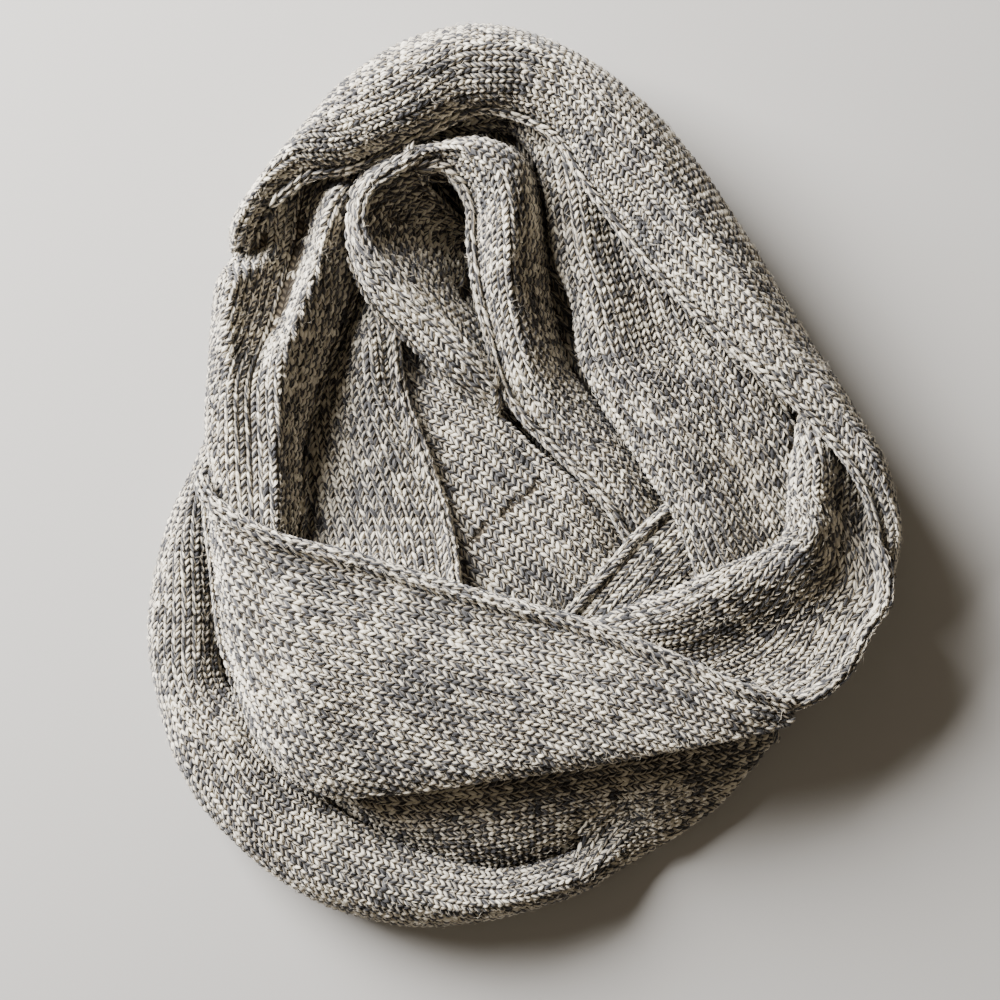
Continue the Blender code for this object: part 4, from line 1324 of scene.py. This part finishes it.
def fibre_places(count, seed):
    """Fibres at random on the stitches, each pointing any way along the cloth."""
    every = joined([*STITCHES.values(), *EDGES.values()])
    random = np.random.default_rng(seed)
    chosen = random.choice(np.flatnonzero(every["points"][:, 2] > FUZZ_FROM), count)
    facing = unit(every["facing"][chosen])
    heading = unit(np.cross(facing, random.normal(size=(count, 3))))
    shift = heading * random.uniform(-FIBRE_SHIFT, FIBRE_SHIFT, (count, 1))
    points = every["points"][chosen] + facing * FIBRE_LIFT + shift
    stretch = random.uniform(*FIBRE_STRETCH, (count, 3))
    yarn = np.column_stack((chosen, chosen, random.random(count)))
    return as_places(points, facing, heading, stretch, yarn)


FUZZ = knitted("yarn_fuzz", fibre_places(FIBRE_COUNT, FUZZ_SEED), **{
    "Stitch": FIBRE, "Material": FIBRES, "Tilt": 0.55, "Uneven size": 0.2})
for thing in (STITCH, FIBRE):
    bpy.data.objects.remove(thing)
KNITS = [INNER_STITCHES, FUZZ, *(piece for _name, _cloth, on_it in PIECES for piece in on_it)]
print("triangles of yarn in all:", sum(triangles(piece) for piece in KNITS))

# %% [markdown]
# ## Floor, light and camera
# A pale floor and one soft light, low above the picture's upper left edge, as from a window. What
# it doesn't reach gets only a faint fill and warm light from all round, so deep folds are dark and
# brown.

# %% Stage
FLOOR_REACH = 3               # metres each way
FLOOR_COLOUR = (0.47, 0.462, 0.45, 1.0)
ROOM_COLOUR = (1.0, 0.84, 0.62, 1.0)
ROOM_STRENGTH = 0.15
LIGHTS = (
    # name, place in metres, size, power, colour
    ("window", (-1.1, 0.88, 0.90), 1.0, 150.0, (1.0, 0.98, 0.955)),
    ("fill", (0.9, -0.8, 1.2), 1.4, 1.0, (1.0, 0.90, 0.76)),
)
LIT_POINT = (0, 0, 0.03)


def floor():
    """The pale floor, which isn't part of the scarf."""
    mesh = bpy.data.meshes.new("floor")
    far = FLOOR_REACH
    mesh.from_pydata([(-far, -far, 0), (far, -far, 0), (far, far, 0), (-far, far, 0)], [],
                     [(0, 1, 2, 3)])
    material, _tone, surface = new_material("pale floor", 0.9, 0.0)
    surface.inputs["Base Color"].default_value = FLOOR_COLOUR
    mesh.materials.append(material)
    in_scene("floor", mesh)


def area_light(name, place, size, power, colour):
    """A square light that faces the heap."""
    lamp = bpy.data.lights.new(name, "AREA")
    lamp.shape, lamp.size, lamp.energy, lamp.color = "SQUARE", size, power, colour
    thing = in_scene(name, lamp)
    thing.location = place
    thing.rotation_euler = (Vector(LIT_POINT) - Vector(place)).to_track_quat("-Z", "Y").to_euler()


floor()
for light in LIGHTS:
    area_light(*light)
world = bpy.data.worlds.new("room")
world.use_nodes = True
world.node_tree.nodes["Background"].inputs["Color"].default_value = ROOM_COLOUR
world.node_tree.nodes["Background"].inputs["Strength"].default_value = ROOM_STRENGTH
bpy.context.scene.world = world

# %% Camera, straight above
FRAME_MIDDLE = (-10.66, -8.44)     # millimetres
FRAME_WIDTH = 450.0                # what the picture takes in at HEAP_LEVEL
HEAP_LEVEL = 40.0
CAMERA_HEIGHT = 1000.0             # above HEAP_LEVEL
SENSOR = 36.0
camera_data = bpy.data.cameras.new("camera")
camera_data.sensor_width = SENSOR
camera_data.lens = SENSOR * CAMERA_HEIGHT / FRAME_WIDTH
camera = in_scene("camera", camera_data)
camera.location = Vector((*FRAME_MIDDLE, HEAP_LEVEL + CAMERA_HEIGHT)) * MM
bpy.context.scene.camera = camera

# %% [markdown]
# ## The pieces under one body
# Each stretch's cloth stands for its solid, which is hidden, and goes under the root body with its
# stitches and edges. Its flat size, its length along the band and its area divided by that, is
# printed.

# %% Bodies, solids and sheets
for name, cloth, on_it in PIECES:
    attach(cloth, "root")
    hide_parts(name)
    for piece in on_it:
        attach(piece, "root")
    sheet = SHEETS[name]
    length = sheet.along[-1] * MM
    width = sheet.area() * MM**2 / length
    print(f"{name}: flat {width * 1000:.0f} x {length * 1000:.0f} mm")
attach(INNER, "root")
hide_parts("hidden_layers")
for piece in (INNER_STITCHES, FUZZ):
    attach(piece, "root")
